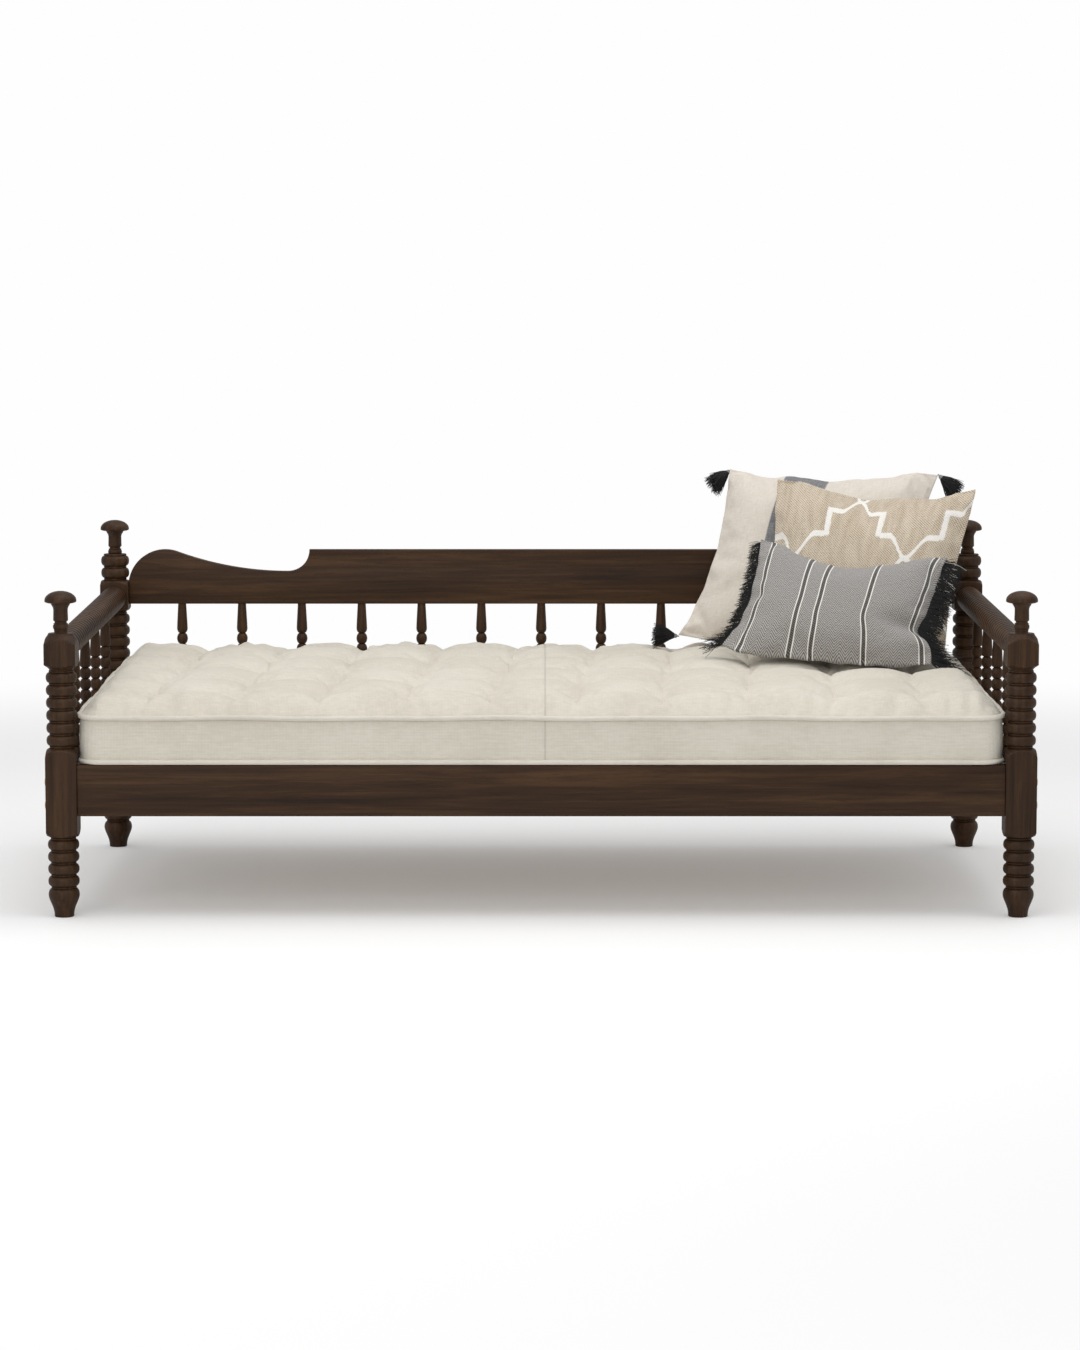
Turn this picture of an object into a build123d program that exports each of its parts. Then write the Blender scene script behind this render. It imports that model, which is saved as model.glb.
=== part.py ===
from build123d import *
import math
import os

# Spool-turned daybed: turned posts, bolted rails, slats, mattress and three cushions.
# Millimetres. X runs along the bed, Y from front to back, Z up from the floor.
# The origin is on the floor, midway between the four posts.

# ---- Frame -----------------------------------------------------------------------------
POST_SPAN_X = 1960.0     # post axis to post axis, along the bed
POST_SPAN_Y = 976.0      # post axis to post axis, front to back
POST_STOCK = 64.0        # square section of the post blocks, and diameter of the spools
FIT = 0.2                # clearance all round between a tenon, dowel or bolt and its hole
SEAT = 0.3               # gap under or beside a soft piece, and at a coped joint

# ---- Post turning, from the floor up ---------------------------------------------------
SPOOL_NECK = 49.0        # diameter in the groove between two spools
SPOOL_LAND = 9.0         # height of a spool's full-diameter band
FOOT_HEIGHT = 61.5       # vase-shaped foot, up to the first groove
FOOT_BASE = 40.0         # diameter on the floor
FOOT_SWELL_Z = (40.0, 50.0)   # the vase is widest between these heights
LEG_SPOOLS = 4
LEG_PITCH = 25.2         # height of one spool in the leg
SHOULDER_LOW = 16.0      # turned shoulder under a square block
SHOULDER_HIGH = 22.0     # turned shoulder on top of a square block
FRONT_LOWER_BLOCK = 189.3     # lower block with both its shoulders
BACK_LOWER_BLOCK = 194.9
FRONT_SPOOLS = 6
FRONT_PITCH = 25.85
BACK_SPOOLS = 7
BACK_PITCH = 26.5
UPPER_BLOCK = 78.4       # upper block with both its shoulders
BACK_CROWN_SPOOLS = 2    # spools between a back post's upper block and its finial
BACK_CROWN_PITCH = 27.65
COLLAR_HEIGHT = 9.0      # plain collar between a front post's upper block and its finial

# ---- Finial ----------------------------------------------------------------------------
FINIAL_STEM = 29.5       # stem diameter
FINIAL_GROOVE = 25.0
FINIAL_GROOVE_Z = (13.0, 17.0)
FINIAL_FLARE_Z = 42.0    # where the stem starts to flare
FINIAL_THROAT = 40.0     # diameter where the flare meets the cap
FINIAL_CAP = 65.0        # cap diameter
FINIAL_CAP_Z = 53.0      # underside of the cap
FINIAL_RIM = 4.0         # height of the cap's rim
FINIAL_HEIGHT = 77.8
FINIAL_CROWN = 26.0      # diameter of the flat top of the cap

# ---- Rails -----------------------------------------------------------------------------
RAIL_TOP = 316.0
RAIL_HEIGHT = 105.0
RAIL_THICKNESS = 28.0
RAIL_SET_BACK = 4.0      # front rail's outer face behind the posts' front
TENON_LENGTH = 22.0
TENON_THICKNESS = 12.0
TENON_SHOULDER = 12.0    # tenon's edge inside the rail's edge, top and bottom

# ---- Bed bolts and their nuts ----------------------------------------------------------
BOLT_DIAMETER = 8.0
BOLT_HEAD = 16.0
BOLT_HEAD_HEIGHT = 2.5
BOLT_LENGTH = 110.0
BOLT_SPACING = 48.0
BOLT_DROP = 7.0          # pair's centre below the rail's mid height
NUT_SIZE = 18.0          # square nut, across its flats
NUT_THICKNESS = 10.0
NUT_INSET = 36.0         # nut's middle from the rail's end

# ---- Ledgers and slats -----------------------------------------------------------------
LEDGER_DEPTH = 25.0
LEDGER_HEIGHT = 40.0
LEDGER_NOTCH = 10.0      # depth of the notches that hold the slats
LEDGER_END_GAP = 60.0    # ledger's end from the post, clear of the nuts
SLAT_COUNT = 13
SLAT_WIDTH = 70.0
SLAT_THICKNESS = 18.0
SLAT_END_GAP = 2.0       # slat's end from the rail
SLAT_MARGIN = 100.0      # outermost slat's axis from the post's inner face

# ---- Back board and back spindles ------------------------------------------------------
BOARD_BOTTOM = 564.0
BOARD_TOP = 689.0
BOARD_THICKNESS = 22.0
HUMP_RADIUS = 84.0       # convex curve at each end of the board
HUMP_INSET = 83.0        # hump's centre from the end of the board
DIP_DEPTH = 50.0         # lowest point of the long curve below the board's top
COVE_RADIUS = 50.0       # quarter-round cove up to the straight top
STEP_INSET = 415.5       # straight top starts this far from the end of the board
SPINDLE_COUNT = 13
SPINDLE_PITCH = 137.8
BOARD_DOWEL = 10.0
BOARD_DOWEL_LENGTH = 50.0
BOARD_DOWEL_SPACING = 22.0
BOARD_DOWEL_RISE = 22.0  # mid height of the two dowels in each end, above the board's bottom

# ---- Spindles --------------------------------------------------------------------------
SPINDLE_TOP = 18.5       # diameter at the top of the tapered shaft
SPINDLE_SWELL = 24.5     # diameter at the bottom of the shaft
SPINDLE_SHAFT = 57.0     # length of the tapered shaft
SPINDLE_NECK = 15.0
SPINDLE_NECK_HEIGHT = 9.0
SPINDLE_SHANK = 22.0

# ---- Arms ------------------------------------------------------------------------------
ARM_DIAMETER = 56.0
ARM_FRONT_Z = 552.0      # arm's axis at the front post
ARM_BACK_Z = 579.0       # arm's axis at the back post
ARM_TENON = 22.0
ARM_TENON_LENGTH = 22.0
ARM_SPINDLES = 4

# ---- Mattress --------------------------------------------------------------------------
MATTRESS_END_GAP = 3.0       # mattress's ends from the posts' inner faces
MATTRESS_SET_BACK = 4.75     # mattress's front face behind the front rail's
MATTRESS_BACK_GAP = 3.0      # mattress's back face in front of the back spindles
MATTRESS_BORDER = 98.0       # height of the front border, seam to seam
MATTRESS_RISE = 26.0         # the back border is this much higher than the front one
MATTRESS_CROWN = 40.0        # the tufted top stands this much over its border
MATTRESS_SLOPE = 90.0        # width of the crown's sloping edge
MATTRESS_CORNER = 45.0       # corner radius seen from above
TUFT_COLUMNS = 10
TUFT_ROWS = 5
TUFT_PITCH_X = 176.0
TUFT_PITCH_Y = 187.0
TUFT_SHIFT = (10.0, 22.0)    # middle of the tufting from the mattress's, right and back
TUFT_DRIFT = 11.0            # each row of tufts to the right of the row in front of it
TUFT_DEPTH = 34.0            # tuft's bottom under the pillows around it
TUFT_RADIUS = 58.0           # at the level of the pillows
TUFT_BOTTOM = 8.0            # radius of the tuft's flat bottom
TUFT_SIDES = 8
CREASE_DEPTH = 16.0          # crease between two pillows
CREASE_HALF_WIDTH = 40.0
CUSHION_SINK = 0.25          # how far below the pillows' level a cushion reaches over a crease

# ---- Cushions --------------------------------------------------------------------------
# Size is width, height and thickness. The slump is how far the bottom edge has slid to the
# left of the top edge. The inset is the cushion's middle from the right posts' inner face.
# The angles are the lean back, the turn to the left and the roll to the right, in degrees.
# Each share of the swell is a section's place and its outline's size, both out of 1.
SWELL_SHARES = ((-1.0, 0.42), (-0.5, 0.86), (0.0, 1.0), (0.5, 0.86), (1.0, 0.42))
SQUARE_SIZE = (469.0, 415.0, 104.0)
SQUARE_SLUMP = 87.0
SQUARE_ANGLES_DEG = (22.0, 12.0, 0.0)
SQUARE_INSET = 335.0
LATTICE_SIZE = (442.0, 414.0, 90.0)
LATTICE_SLUMP = 41.0
LATTICE_ANGLES_DEG = (28.0, 13.0, 0.0)
LATTICE_INSET = 233.0
STRIPE_SIZE = (455.0, 284.0, 98.0)
STRIPE_SLUMP = 0.0
STRIPE_ANGLES_DEG = (40.0, 10.0, 6.0)
STRIPE_INSET = 290.0

UNDERSIDE_STEPS = [step / 40 - 1 for step in range(81)]      # places along a bottom edge
SETTLING_ROUNDS = 30

# ---- Cushion trim ----------------------------------------------------------------------
TASSEL_CORD = 3.0            # across, where it leaves the corner
TASSEL_NECK = 8.0
TASSEL_END = 44.0
TASSEL_NECK_AT = 12.0        # neck and end, measured from the corner
TASSEL_REACH = 66.0
# The three tassels: each one's corner, the way it lies, and its cord's start from the corner.
TASSEL_CORNER_SHARES = ((-1, 1), (1, 1), (-1, -0.97))
TASSEL_DIRECTIONS = ((-0.78, -0.25, -0.57), (0.75, 0.0, -0.66), (-0.94, 0.0, 0.34))
TASSEL_STARTS = (2.6, 1.0, 1.0)
FRINGE_REACH = (26.0, 44.0)  # left and right
FRINGE_THICKNESS = 8.0
FRINGE_INSET = 6.0           # fringe's ends from the cushion's corners

# ---- Worked out ------------------------------------------------------------------------
HALF_X = POST_SPAN_X / 2
HALF_Y = POST_SPAN_Y / 2
HALF_STOCK = POST_STOCK / 2
INNER_X = HALF_X - HALF_STOCK                # posts' inner faces
INNER_Y = HALF_Y - HALF_STOCK
OUTER_X = HALF_X + HALF_STOCK
RAIL_BOTTOM = RAIL_TOP - RAIL_HEIGHT
RAIL_MID_Z = RAIL_TOP - RAIL_HEIGHT / 2
FRONT_RAIL_Y = -(HALF_Y + HALF_STOCK - RAIL_SET_BACK - RAIL_THICKNESS / 2)
BACK_RAIL_Y = HALF_Y                         # under the back spindles
LOWER_BLOCK_Z = FOOT_HEIGHT + LEG_SPOOLS * LEG_PITCH
SLAT_Z = RAIL_TOP - SLAT_THICKNESS           # underside of the slats
BOLT_Z = [RAIL_MID_Z - BOLT_DROP + side * BOLT_SPACING / 2 for side in (-1, 1)]
BOARD_DOWEL_Z = [BOARD_BOTTOM + BOARD_DOWEL_RISE + side * BOARD_DOWEL_SPACING / 2
                 for side in (-1, 1)]
ARM_SPINDLE_PITCH = 2 * INNER_Y / (ARM_SPINDLES + 1)
MATTRESS_LENGTH = 2 * (INNER_X - MATTRESS_END_GAP)
MATTRESS_FRONT_Y = FRONT_RAIL_Y - RAIL_THICKNESS / 2 + MATTRESS_SET_BACK
MATTRESS_BACK_Y = HALF_Y - SPINDLE_SWELL / 2 - MATTRESS_BACK_GAP
MATTRESS_WIDTH = MATTRESS_BACK_Y - MATTRESS_FRONT_Y

OUT = "parts"


def save(name, *solids):
    """Writes one node: a single solid, or a group of separate ones."""
    shape = solids[0] if len(solids) == 1 else Compound(children=list(solids))
    shape.label = name
    export_step(shape, os.path.join(OUT, name + ".step"))


def block(low, high):
    """A box between two corners."""
    size = [b - a for a, b in zip(low, high)]
    centre = [(a + b) / 2 for a, b in zip(low, high)]
    return Pos(*centre) * Box(*size)


def rod(diameter, start, end):
    """A round rod between two points."""
    start, end = Vector(*start), Vector(*end)
    axis = end - start
    return extrude(Plane(start, z_dir=axis) * Circle(diameter / 2), axis.length)


def faceted(rings):
    """A closed solid between similar parallel polygons, each a list of corners."""
    outlines = [rings[0], rings[-1]]
    for low, high in zip(rings, rings[1:]):
        outlines += [[low[index - 1], low[index], high[index], high[index - 1]]
                     for index in range(len(low))]
    return Solid(Shell([make_face(Polyline(*outline, close=True)) for outline in outlines]))


def turned(profile):
    """A solid of revolution about Z from (radius, height) points, bottom to top."""
    outline = [(0, profile[0][1]), *profile, (0, profile[-1][1])]
    return revolve(Plane.XZ * make_face(Polyline(*outline, close=True)), Axis.Z)


def spools(base, count, pitch):
    """Profile of a stack of spools, from the groove at its base to the groove on its top."""
    bevel = (pitch - SPOOL_LAND) / 2
    profile = []
    for index in range(count):
        z = base + index * pitch
        profile += [(POST_STOCK / 2, z + bevel), (POST_STOCK / 2, z + pitch - bevel),
                    (SPOOL_NECK / 2, z + pitch)]
    return profile


def post_block(base, height, low_shoulder=SHOULDER_LOW, high_shoulder=SHOULDER_HIGH):
    """A square block whose corners run out into turned shoulders at both ends."""
    corner = POST_STOCK / math.sqrt(2)
    round_stock = turned([
        (SPOOL_NECK / 2, base), (corner, base + low_shoulder),
        (corner, base + height - high_shoulder), (SPOOL_NECK / 2, base + height)])
    square = block((-HALF_STOCK, -HALF_STOCK, base), (HALF_STOCK, HALF_STOCK, base + height))
    return round_stock & square


def finial(base):
    """Profile of a mushroom finial: grooved stem, flare, and cap with a flattened dome."""
    stem, groove, cap = FINIAL_STEM / 2, FINIAL_GROOVE / 2, FINIAL_CAP / 2
    groove_low, groove_high = FINIAL_GROOVE_Z
    return [
        (stem, base), (stem, base + groove_low), (groove, base + groove_low),
        (groove, base + groove_high), (stem, base + groove_high),
        (stem, base + FINIAL_FLARE_Z), (FINIAL_THROAT / 2, base + FINIAL_CAP_Z),
        (cap, base + FINIAL_CAP_Z), (cap, base + FINIAL_CAP_Z + FINIAL_RIM),
        (FINIAL_CROWN / 2, base + FINIAL_HEIGHT)]


def post(lower_block, count, pitch, crown_spools):
    """A whole post on the Z axis, turned from one piece: foot, spools, two blocks, finial."""
    swell_low, swell_high = FOOT_SWELL_Z
    foot = [(FOOT_BASE / 2, 0), (HALF_STOCK, swell_low), (HALF_STOCK, swell_high),
            (SPOOL_NECK / 2, FOOT_HEIGHT)]
    shaft_z = LOWER_BLOCK_Z + lower_block
    upper_z = shaft_z + count * pitch
    crown_z = upper_z + UPPER_BLOCK
    leg = turned(foot + spools(FOOT_HEIGHT, LEG_SPOOLS, LEG_PITCH))
    shaft = turned([(SPOOL_NECK / 2, shaft_z)] + spools(shaft_z, count, pitch))
    if crown_spools:
        crown = [(SPOOL_NECK / 2, crown_z)] + spools(crown_z, crown_spools, BACK_CROWN_PITCH)
        finial_z = crown_z + crown_spools * BACK_CROWN_PITCH
    else:
        crown = [(FINIAL_GROOVE / 2, crown_z), (FINIAL_GROOVE / 2, crown_z + COLLAR_HEIGHT)]
        finial_z = crown_z + COLLAR_HEIGHT
    top = turned(crown + finial(finial_z))
    return (leg + post_block(LOWER_BLOCK_Z, lower_block) + shaft
            + post_block(upper_z, UPPER_BLOCK) + top)


def arm_point(side, y):
    """Point on an arm's sloping axis at a distance y from the middle of the bed."""
    share = (y + INNER_Y) / (2 * INNER_Y)
    return (side * HALF_X, y, ARM_FRONT_Z + share * (ARM_BACK_Z - ARM_FRONT_Z))


def arm_rod(side, diameter, reach):
    """A round rod on an arm's axis, running past both posts' inner faces by reach."""
    return rod(diameter, arm_point(side, -INNER_Y - reach), arm_point(side, INNER_Y + reach))


def arm(side):
    """A round arm cut square against the posts, with a tenon at each end."""
    between = block((side * HALF_X - ARM_DIAMETER, -INNER_Y, 0),
                    (side * HALF_X + ARM_DIAMETER, INNER_Y, 2 * ARM_BACK_Z))
    return (arm_rod(side, ARM_DIAMETER, ARM_DIAMETER) & between
            ) + arm_rod(side, ARM_TENON, ARM_TENON_LENGTH)


def side_tenon(side, grow, reach):
    """The part of a side rail that enters both posts, grown all round by a clearance."""
    half = TENON_THICKNESS / 2 + grow
    return block(
        (side * HALF_X - half, -INNER_Y - reach, RAIL_BOTTOM + TENON_SHOULDER - grow),
        (side * HALF_X + half, INNER_Y + reach, RAIL_TOP - TENON_SHOULDER + grow))


def side_rail(side):
    """A side rail with a tenon at each end."""
    half = RAIL_THICKNESS / 2
    rail = block((side * HALF_X - half, -INNER_Y, RAIL_BOTTOM),
                 (side * HALF_X + half, INNER_Y, RAIL_TOP))
    return rail + side_tenon(side, 0, TENON_LENGTH)


def bolt_shanks(side, y, diameter, reach=0.0):
    """The two bolt shanks, or their holes, in one end of a long rail."""
    start = side * OUTER_X
    end = side * (OUTER_X - BOLT_LENGTH - reach)
    return [rod(diameter, (start, y, z), (end, y, z)) for z in BOLT_Z]


def nut(side, y, z):
    """A square nut on a bed bolt."""
    x = side * (INNER_X - NUT_INSET)
    half = NUT_SIZE / 2
    blank = block((x - NUT_THICKNESS / 2, y - half, z - half),
                  (x + NUT_THICKNESS / 2, y + half, z + half))
    bore = BOLT_DIAMETER + 2 * FIT
    return blank - rod(bore, (x - NUT_THICKNESS, y, z), (x + NUT_THICKNESS, y, z))


def nut_pocket(side, y, z):
    """The pocket that a nut drops into from a long rail's inner face."""
    x = side * (INNER_X - NUT_INSET)
    half = NUT_SIZE / 2 + FIT
    depth = RAIL_THICKNESS / 2 if y < 0 else half
    opposite = half if y < 0 else RAIL_THICKNESS / 2
    return block((x - NUT_THICKNESS / 2 - FIT, y - opposite, z - half),
                 (x + NUT_THICKNESS / 2 + FIT, y + depth, z + half))


def long_rail(y):
    """A front or back rail, bored for its bolts and pocketed for their nuts."""
    rail = block((-INNER_X, y - RAIL_THICKNESS / 2, RAIL_BOTTOM),
                 (INNER_X, y + RAIL_THICKNESS / 2, RAIL_TOP))
    for side in (-1, 1):
        for hole in bolt_shanks(side, y, BOLT_DIAMETER + 2 * FIT, reach=FIT):
            rail -= hole
        for z in BOLT_Z:
            rail -= nut_pocket(side, y, z)
    return rail


def bed_bolt(side, y, z):
    """A flat-headed bolt through a post into the end of a long rail."""
    head = rod(BOLT_HEAD, (side * OUTER_X, y, z), (side * (OUTER_X + BOLT_HEAD_HEIGHT), y, z))
    return head + rod(BOLT_DIAMETER, (side * OUTER_X, y, z),
                      (side * (OUTER_X - BOLT_LENGTH), y, z))


def board_dowels(side, grow=0.0):
    """The two dowels, or their holes, between the back board and a back post."""
    half = BOARD_DOWEL_LENGTH / 2 + grow
    return [rod(BOARD_DOWEL + 2 * grow, (side * INNER_X - half, HALF_Y, z),
                (side * INNER_X + half, HALF_Y, z)) for z in BOARD_DOWEL_Z]


def back_board():
    """The crest board: a hump, a long dip and a cove at each end of a straight top."""
    dip = BOARD_TOP - DIP_DEPTH
    hump_z = BOARD_TOP - HUMP_RADIUS
    hump_x = HUMP_INSET - INNER_X
    cove_x = STEP_INSET - INNER_X - COVE_RADIUS
    run = cove_x - hump_x
    turn = 2 * math.atan(DIP_DEPTH / run)            # slope where hump and dip meet
    dip_radius = run / math.sin(turn) - HUMP_RADIUS

    def on_hump(angle):
        return (hump_x + HUMP_RADIUS * math.sin(angle), hump_z + HUMP_RADIUS * math.cos(angle))

    def on_dip(angle):
        return (cove_x - dip_radius * math.sin(angle),
                dip + dip_radius * (1 - math.cos(angle)))

    end_angle = -math.asin(HUMP_INSET / HUMP_RADIUS)
    quarter = COVE_RADIUS * math.sqrt(0.5)
    left = [
        Line((0, BOARD_BOTTOM), (-INNER_X, BOARD_BOTTOM)),
        Line((-INNER_X, BOARD_BOTTOM), on_hump(end_angle)),
        ThreePointArc(on_hump(end_angle), on_hump((end_angle + turn) / 2), on_hump(turn)),
        ThreePointArc(on_hump(turn), on_dip(turn / 2), (cove_x, dip)),
        ThreePointArc((cove_x, dip), (cove_x + quarter, BOARD_TOP - quarter),
                      (cove_x + COVE_RADIUS, dip + COVE_RADIUS)),
        Line((cove_x + COVE_RADIUS, dip + COVE_RADIUS), (0, BOARD_TOP)),
    ]
    right = [edge.mirror(Plane.YZ) for edge in left]
    face = make_face(Curve() + left + right)
    board = extrude(Plane((0, HALF_Y + BOARD_THICKNESS / 2, 0), x_dir=(1, 0, 0),
                          z_dir=(0, -1, 0)) * face, BOARD_THICKNESS)
    for side in (-1, 1):
        for hole in board_dowels(side, grow=FIT):
            board -= hole
    return board


def spindle(bottom, top, spare=0.0):
    """A spindle on the Z axis: shank, neck, and a shaft that tapers up to its top.

    The shaft is carried on above its top by spare, to be coped to what it meets.
    """
    shaft_z = top - SPINDLE_SHAFT
    neck_z = shaft_z - SPINDLE_NECK_HEIGHT
    profile = [
        (SPINDLE_SHANK / 2, bottom), (SPINDLE_SHANK / 2, neck_z), (SPINDLE_NECK / 2, neck_z),
        (SPINDLE_NECK / 2, shaft_z), (SPINDLE_SWELL / 2, shaft_z), (SPINDLE_TOP / 2, top)]
    if spare:
        profile.append((SPINDLE_TOP / 2, top + spare))
    return turned(profile)


def back_spindles():
    """The row of spindles between the back rail and the board."""
    middle = (SPINDLE_COUNT - 1) / 2
    pattern = spindle(RAIL_TOP, BOARD_BOTTOM)
    return [Pos((index - middle) * SPINDLE_PITCH, HALF_Y, 0) * pattern
            for index in range(SPINDLE_COUNT)]


def arm_spindles(side):
    """The spindles between a side rail and its arm, coped to the arm's underside."""
    cope = arm_rod(side, ARM_DIAMETER + 2 * SEAT, 0)
    solids = []
    for index in range(ARM_SPINDLES):
        x, y, z = arm_point(side, (index + 1) * ARM_SPINDLE_PITCH - INNER_Y)
        upright = Pos(x, y, 0) * spindle(RAIL_TOP, z - ARM_DIAMETER / 2, spare=SPINDLE_TOP / 4)
        solids.append(upright - cope)
    return solids


def corner_post(side_x, side_y):
    """A post in its corner, mortised and bored for what it carries."""
    if side_y < 0:
        solid = post(FRONT_LOWER_BLOCK, FRONT_SPOOLS, FRONT_PITCH, 0)
        rail_y = FRONT_RAIL_Y
    else:
        solid = post(BACK_LOWER_BLOCK, BACK_SPOOLS, BACK_PITCH, BACK_CROWN_SPOOLS)
        rail_y = BACK_RAIL_Y
    solid = Pos(side_x * HALF_X, side_y * HALF_Y, 0) * solid
    solid -= side_tenon(side_x, FIT, TENON_LENGTH + FIT)
    solid -= arm_rod(side_x, ARM_TENON + 2 * FIT, ARM_TENON_LENGTH + FIT)
    for hole in bolt_shanks(side_x, rail_y, BOLT_DIAMETER + 2 * FIT):
        solid -= hole
    if side_y > 0:
        for hole in board_dowels(side_x, grow=FIT):
            solid -= hole
    return solid


def slat(index, grow=0.0):
    """One slat across the bed, or its notch in the ledgers."""
    reach = INNER_X - SLAT_MARGIN
    x = -reach + index * 2 * reach / (SLAT_COUNT - 1)
    half = SLAT_WIDTH / 2 + grow
    return block((x - half, FRONT_RAIL_Y + RAIL_THICKNESS / 2 + SLAT_END_GAP - grow, SLAT_Z),
                 (x + half, BACK_RAIL_Y - RAIL_THICKNESS / 2 - SLAT_END_GAP + grow, RAIL_TOP))


def ledger(face_y, inward):
    """A strip along a long rail's inner face, notched for the ends of the slats."""
    low, high = sorted((face_y, face_y + inward * LEDGER_DEPTH))
    reach = INNER_X - LEDGER_END_GAP
    top = SLAT_Z + LEDGER_NOTCH
    strip = block((-reach, low, top - LEDGER_HEIGHT), (reach, high, top))
    notches = block((-reach, low - FIT, SLAT_Z), (reach, high + FIT, RAIL_TOP))
    for index in range(SLAT_COUNT):
        strip -= slat(index, grow=FIT) & notches
    return strip


def mattress_top(y):
    """Height of the mattress's pillows at a distance y from the middle of the bed."""
    return (RAIL_TOP + SEAT + MATTRESS_BORDER + MATTRESS_CROWN
            + MATTRESS_RISE * (y - MATTRESS_FRONT_Y) / MATTRESS_WIDTH)


def tuft_place(column, row):
    """Where a tuft is on the mattress, level with the pillows. Both counts are from 0."""
    shift_x, shift_y = TUFT_SHIFT
    rows_back = row - (TUFT_ROWS - 1) / 2
    x = shift_x + (column - (TUFT_COLUMNS - 1) / 2) * TUFT_PITCH_X + rows_back * TUFT_DRIFT
    y = (MATTRESS_FRONT_Y + MATTRESS_BACK_Y) / 2 + shift_y + rows_back * TUFT_PITCH_Y
    return Vector(x, y, mattress_top(y))


def pillow_height(x, y):
    """Height of the mattress's top at a place, creases and tufts counted."""
    first = tuft_place(0, 0)
    row = (y - first.Y) / TUFT_PITCH_Y
    column = (x - first.X - row * TUFT_DRIFT) / TUFT_PITCH_X
    near_row = min(max(round(row), 0), TUFT_ROWS - 1)
    near_column = min(max(round(column), 0), TUFT_COLUMNS - 1)
    off_x = abs(column - near_column) * TUFT_PITCH_X
    off_y = abs(row - near_row) * TUFT_PITCH_Y
    fold = CREASE_DEPTH * (1 - min(off_x, off_y) / CREASE_HALF_WIDTH)
    inside = TUFT_RADIUS * math.cos(math.pi / TUFT_SIDES) - math.hypot(off_x, off_y)
    pit = TUFT_DEPTH * min(1, inside / (TUFT_RADIUS - TUFT_BOTTOM))
    return mattress_top(y) - max(fold, pit, 0)


def crease(start, end):
    """The wedge that a crease between two rows of pillows takes out of the mattress."""
    over = 1.5                   # carried up past the pillows, to cut clear of them
    wedge = Polyline((0, -CREASE_DEPTH), (over * CREASE_HALF_WIDTH, (over - 1) * CREASE_DEPTH),
                     (-over * CREASE_HALF_WIDTH, (over - 1) * CREASE_DEPTH), close=True)
    axis = end - start
    across = Vector(0, 0, 1).cross(axis)
    return extrude(Plane(start, x_dir=across, z_dir=axis) * make_face(wedge), axis.length)


def tuft(place):
    """The pit of one tuft, a many-sided funnel."""
    over = 1.4
    funnel = ((-TUFT_DEPTH, TUFT_BOTTOM), ((over - 1) * TUFT_DEPTH,
                                           TUFT_BOTTOM + over * (TUFT_RADIUS - TUFT_BOTTOM)))
    return faceted([[tuple(vertex) for vertex in
                     (Pos(*place) * Pos(0, 0, z) * RegularPolygon(radius, TUFT_SIDES)).vertices()]
                    for z, radius in funnel])


def mattress():
    """Border and tufted crown of the mattress. Its back stands higher than its front."""
    middle_y = (MATTRESS_FRONT_Y + MATTRESS_BACK_Y) / 2
    base_z = RAIL_TOP + SEAT
    tilt = math.degrees(math.atan(MATTRESS_RISE / MATTRESS_WIDTH))
    edge_z = base_z + MATTRESS_BORDER + MATTRESS_RISE / 2
    base = RectangleRounded(MATTRESS_LENGTH, MATTRESS_WIDTH, MATTRESS_CORNER)
    crown = RectangleRounded(MATTRESS_LENGTH - 2 * MATTRESS_SLOPE,
                             MATTRESS_WIDTH - 2 * MATTRESS_SLOPE, MATTRESS_CORNER)
    body = loft([
        Pos(0, middle_y, base_z) * base,
        Location((0, middle_y, edge_z), (tilt, 0, 0)) * base,
        Location((0, middle_y, edge_z + MATTRESS_CROWN), (tilt, 0, 0)) * crown], ruled=True)
    cuts = [crease(tuft_place(column, -1), tuft_place(column, TUFT_ROWS))
            for column in range(TUFT_COLUMNS)]
    cuts += [crease(tuft_place(-2, row), tuft_place(TUFT_COLUMNS + 1, row))
             for row in range(TUFT_ROWS)]
    cuts += [tuft(tuft_place(column, row))
             for column in range(TUFT_COLUMNS) for row in range(TUFT_ROWS)]
    return body - cuts


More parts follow.
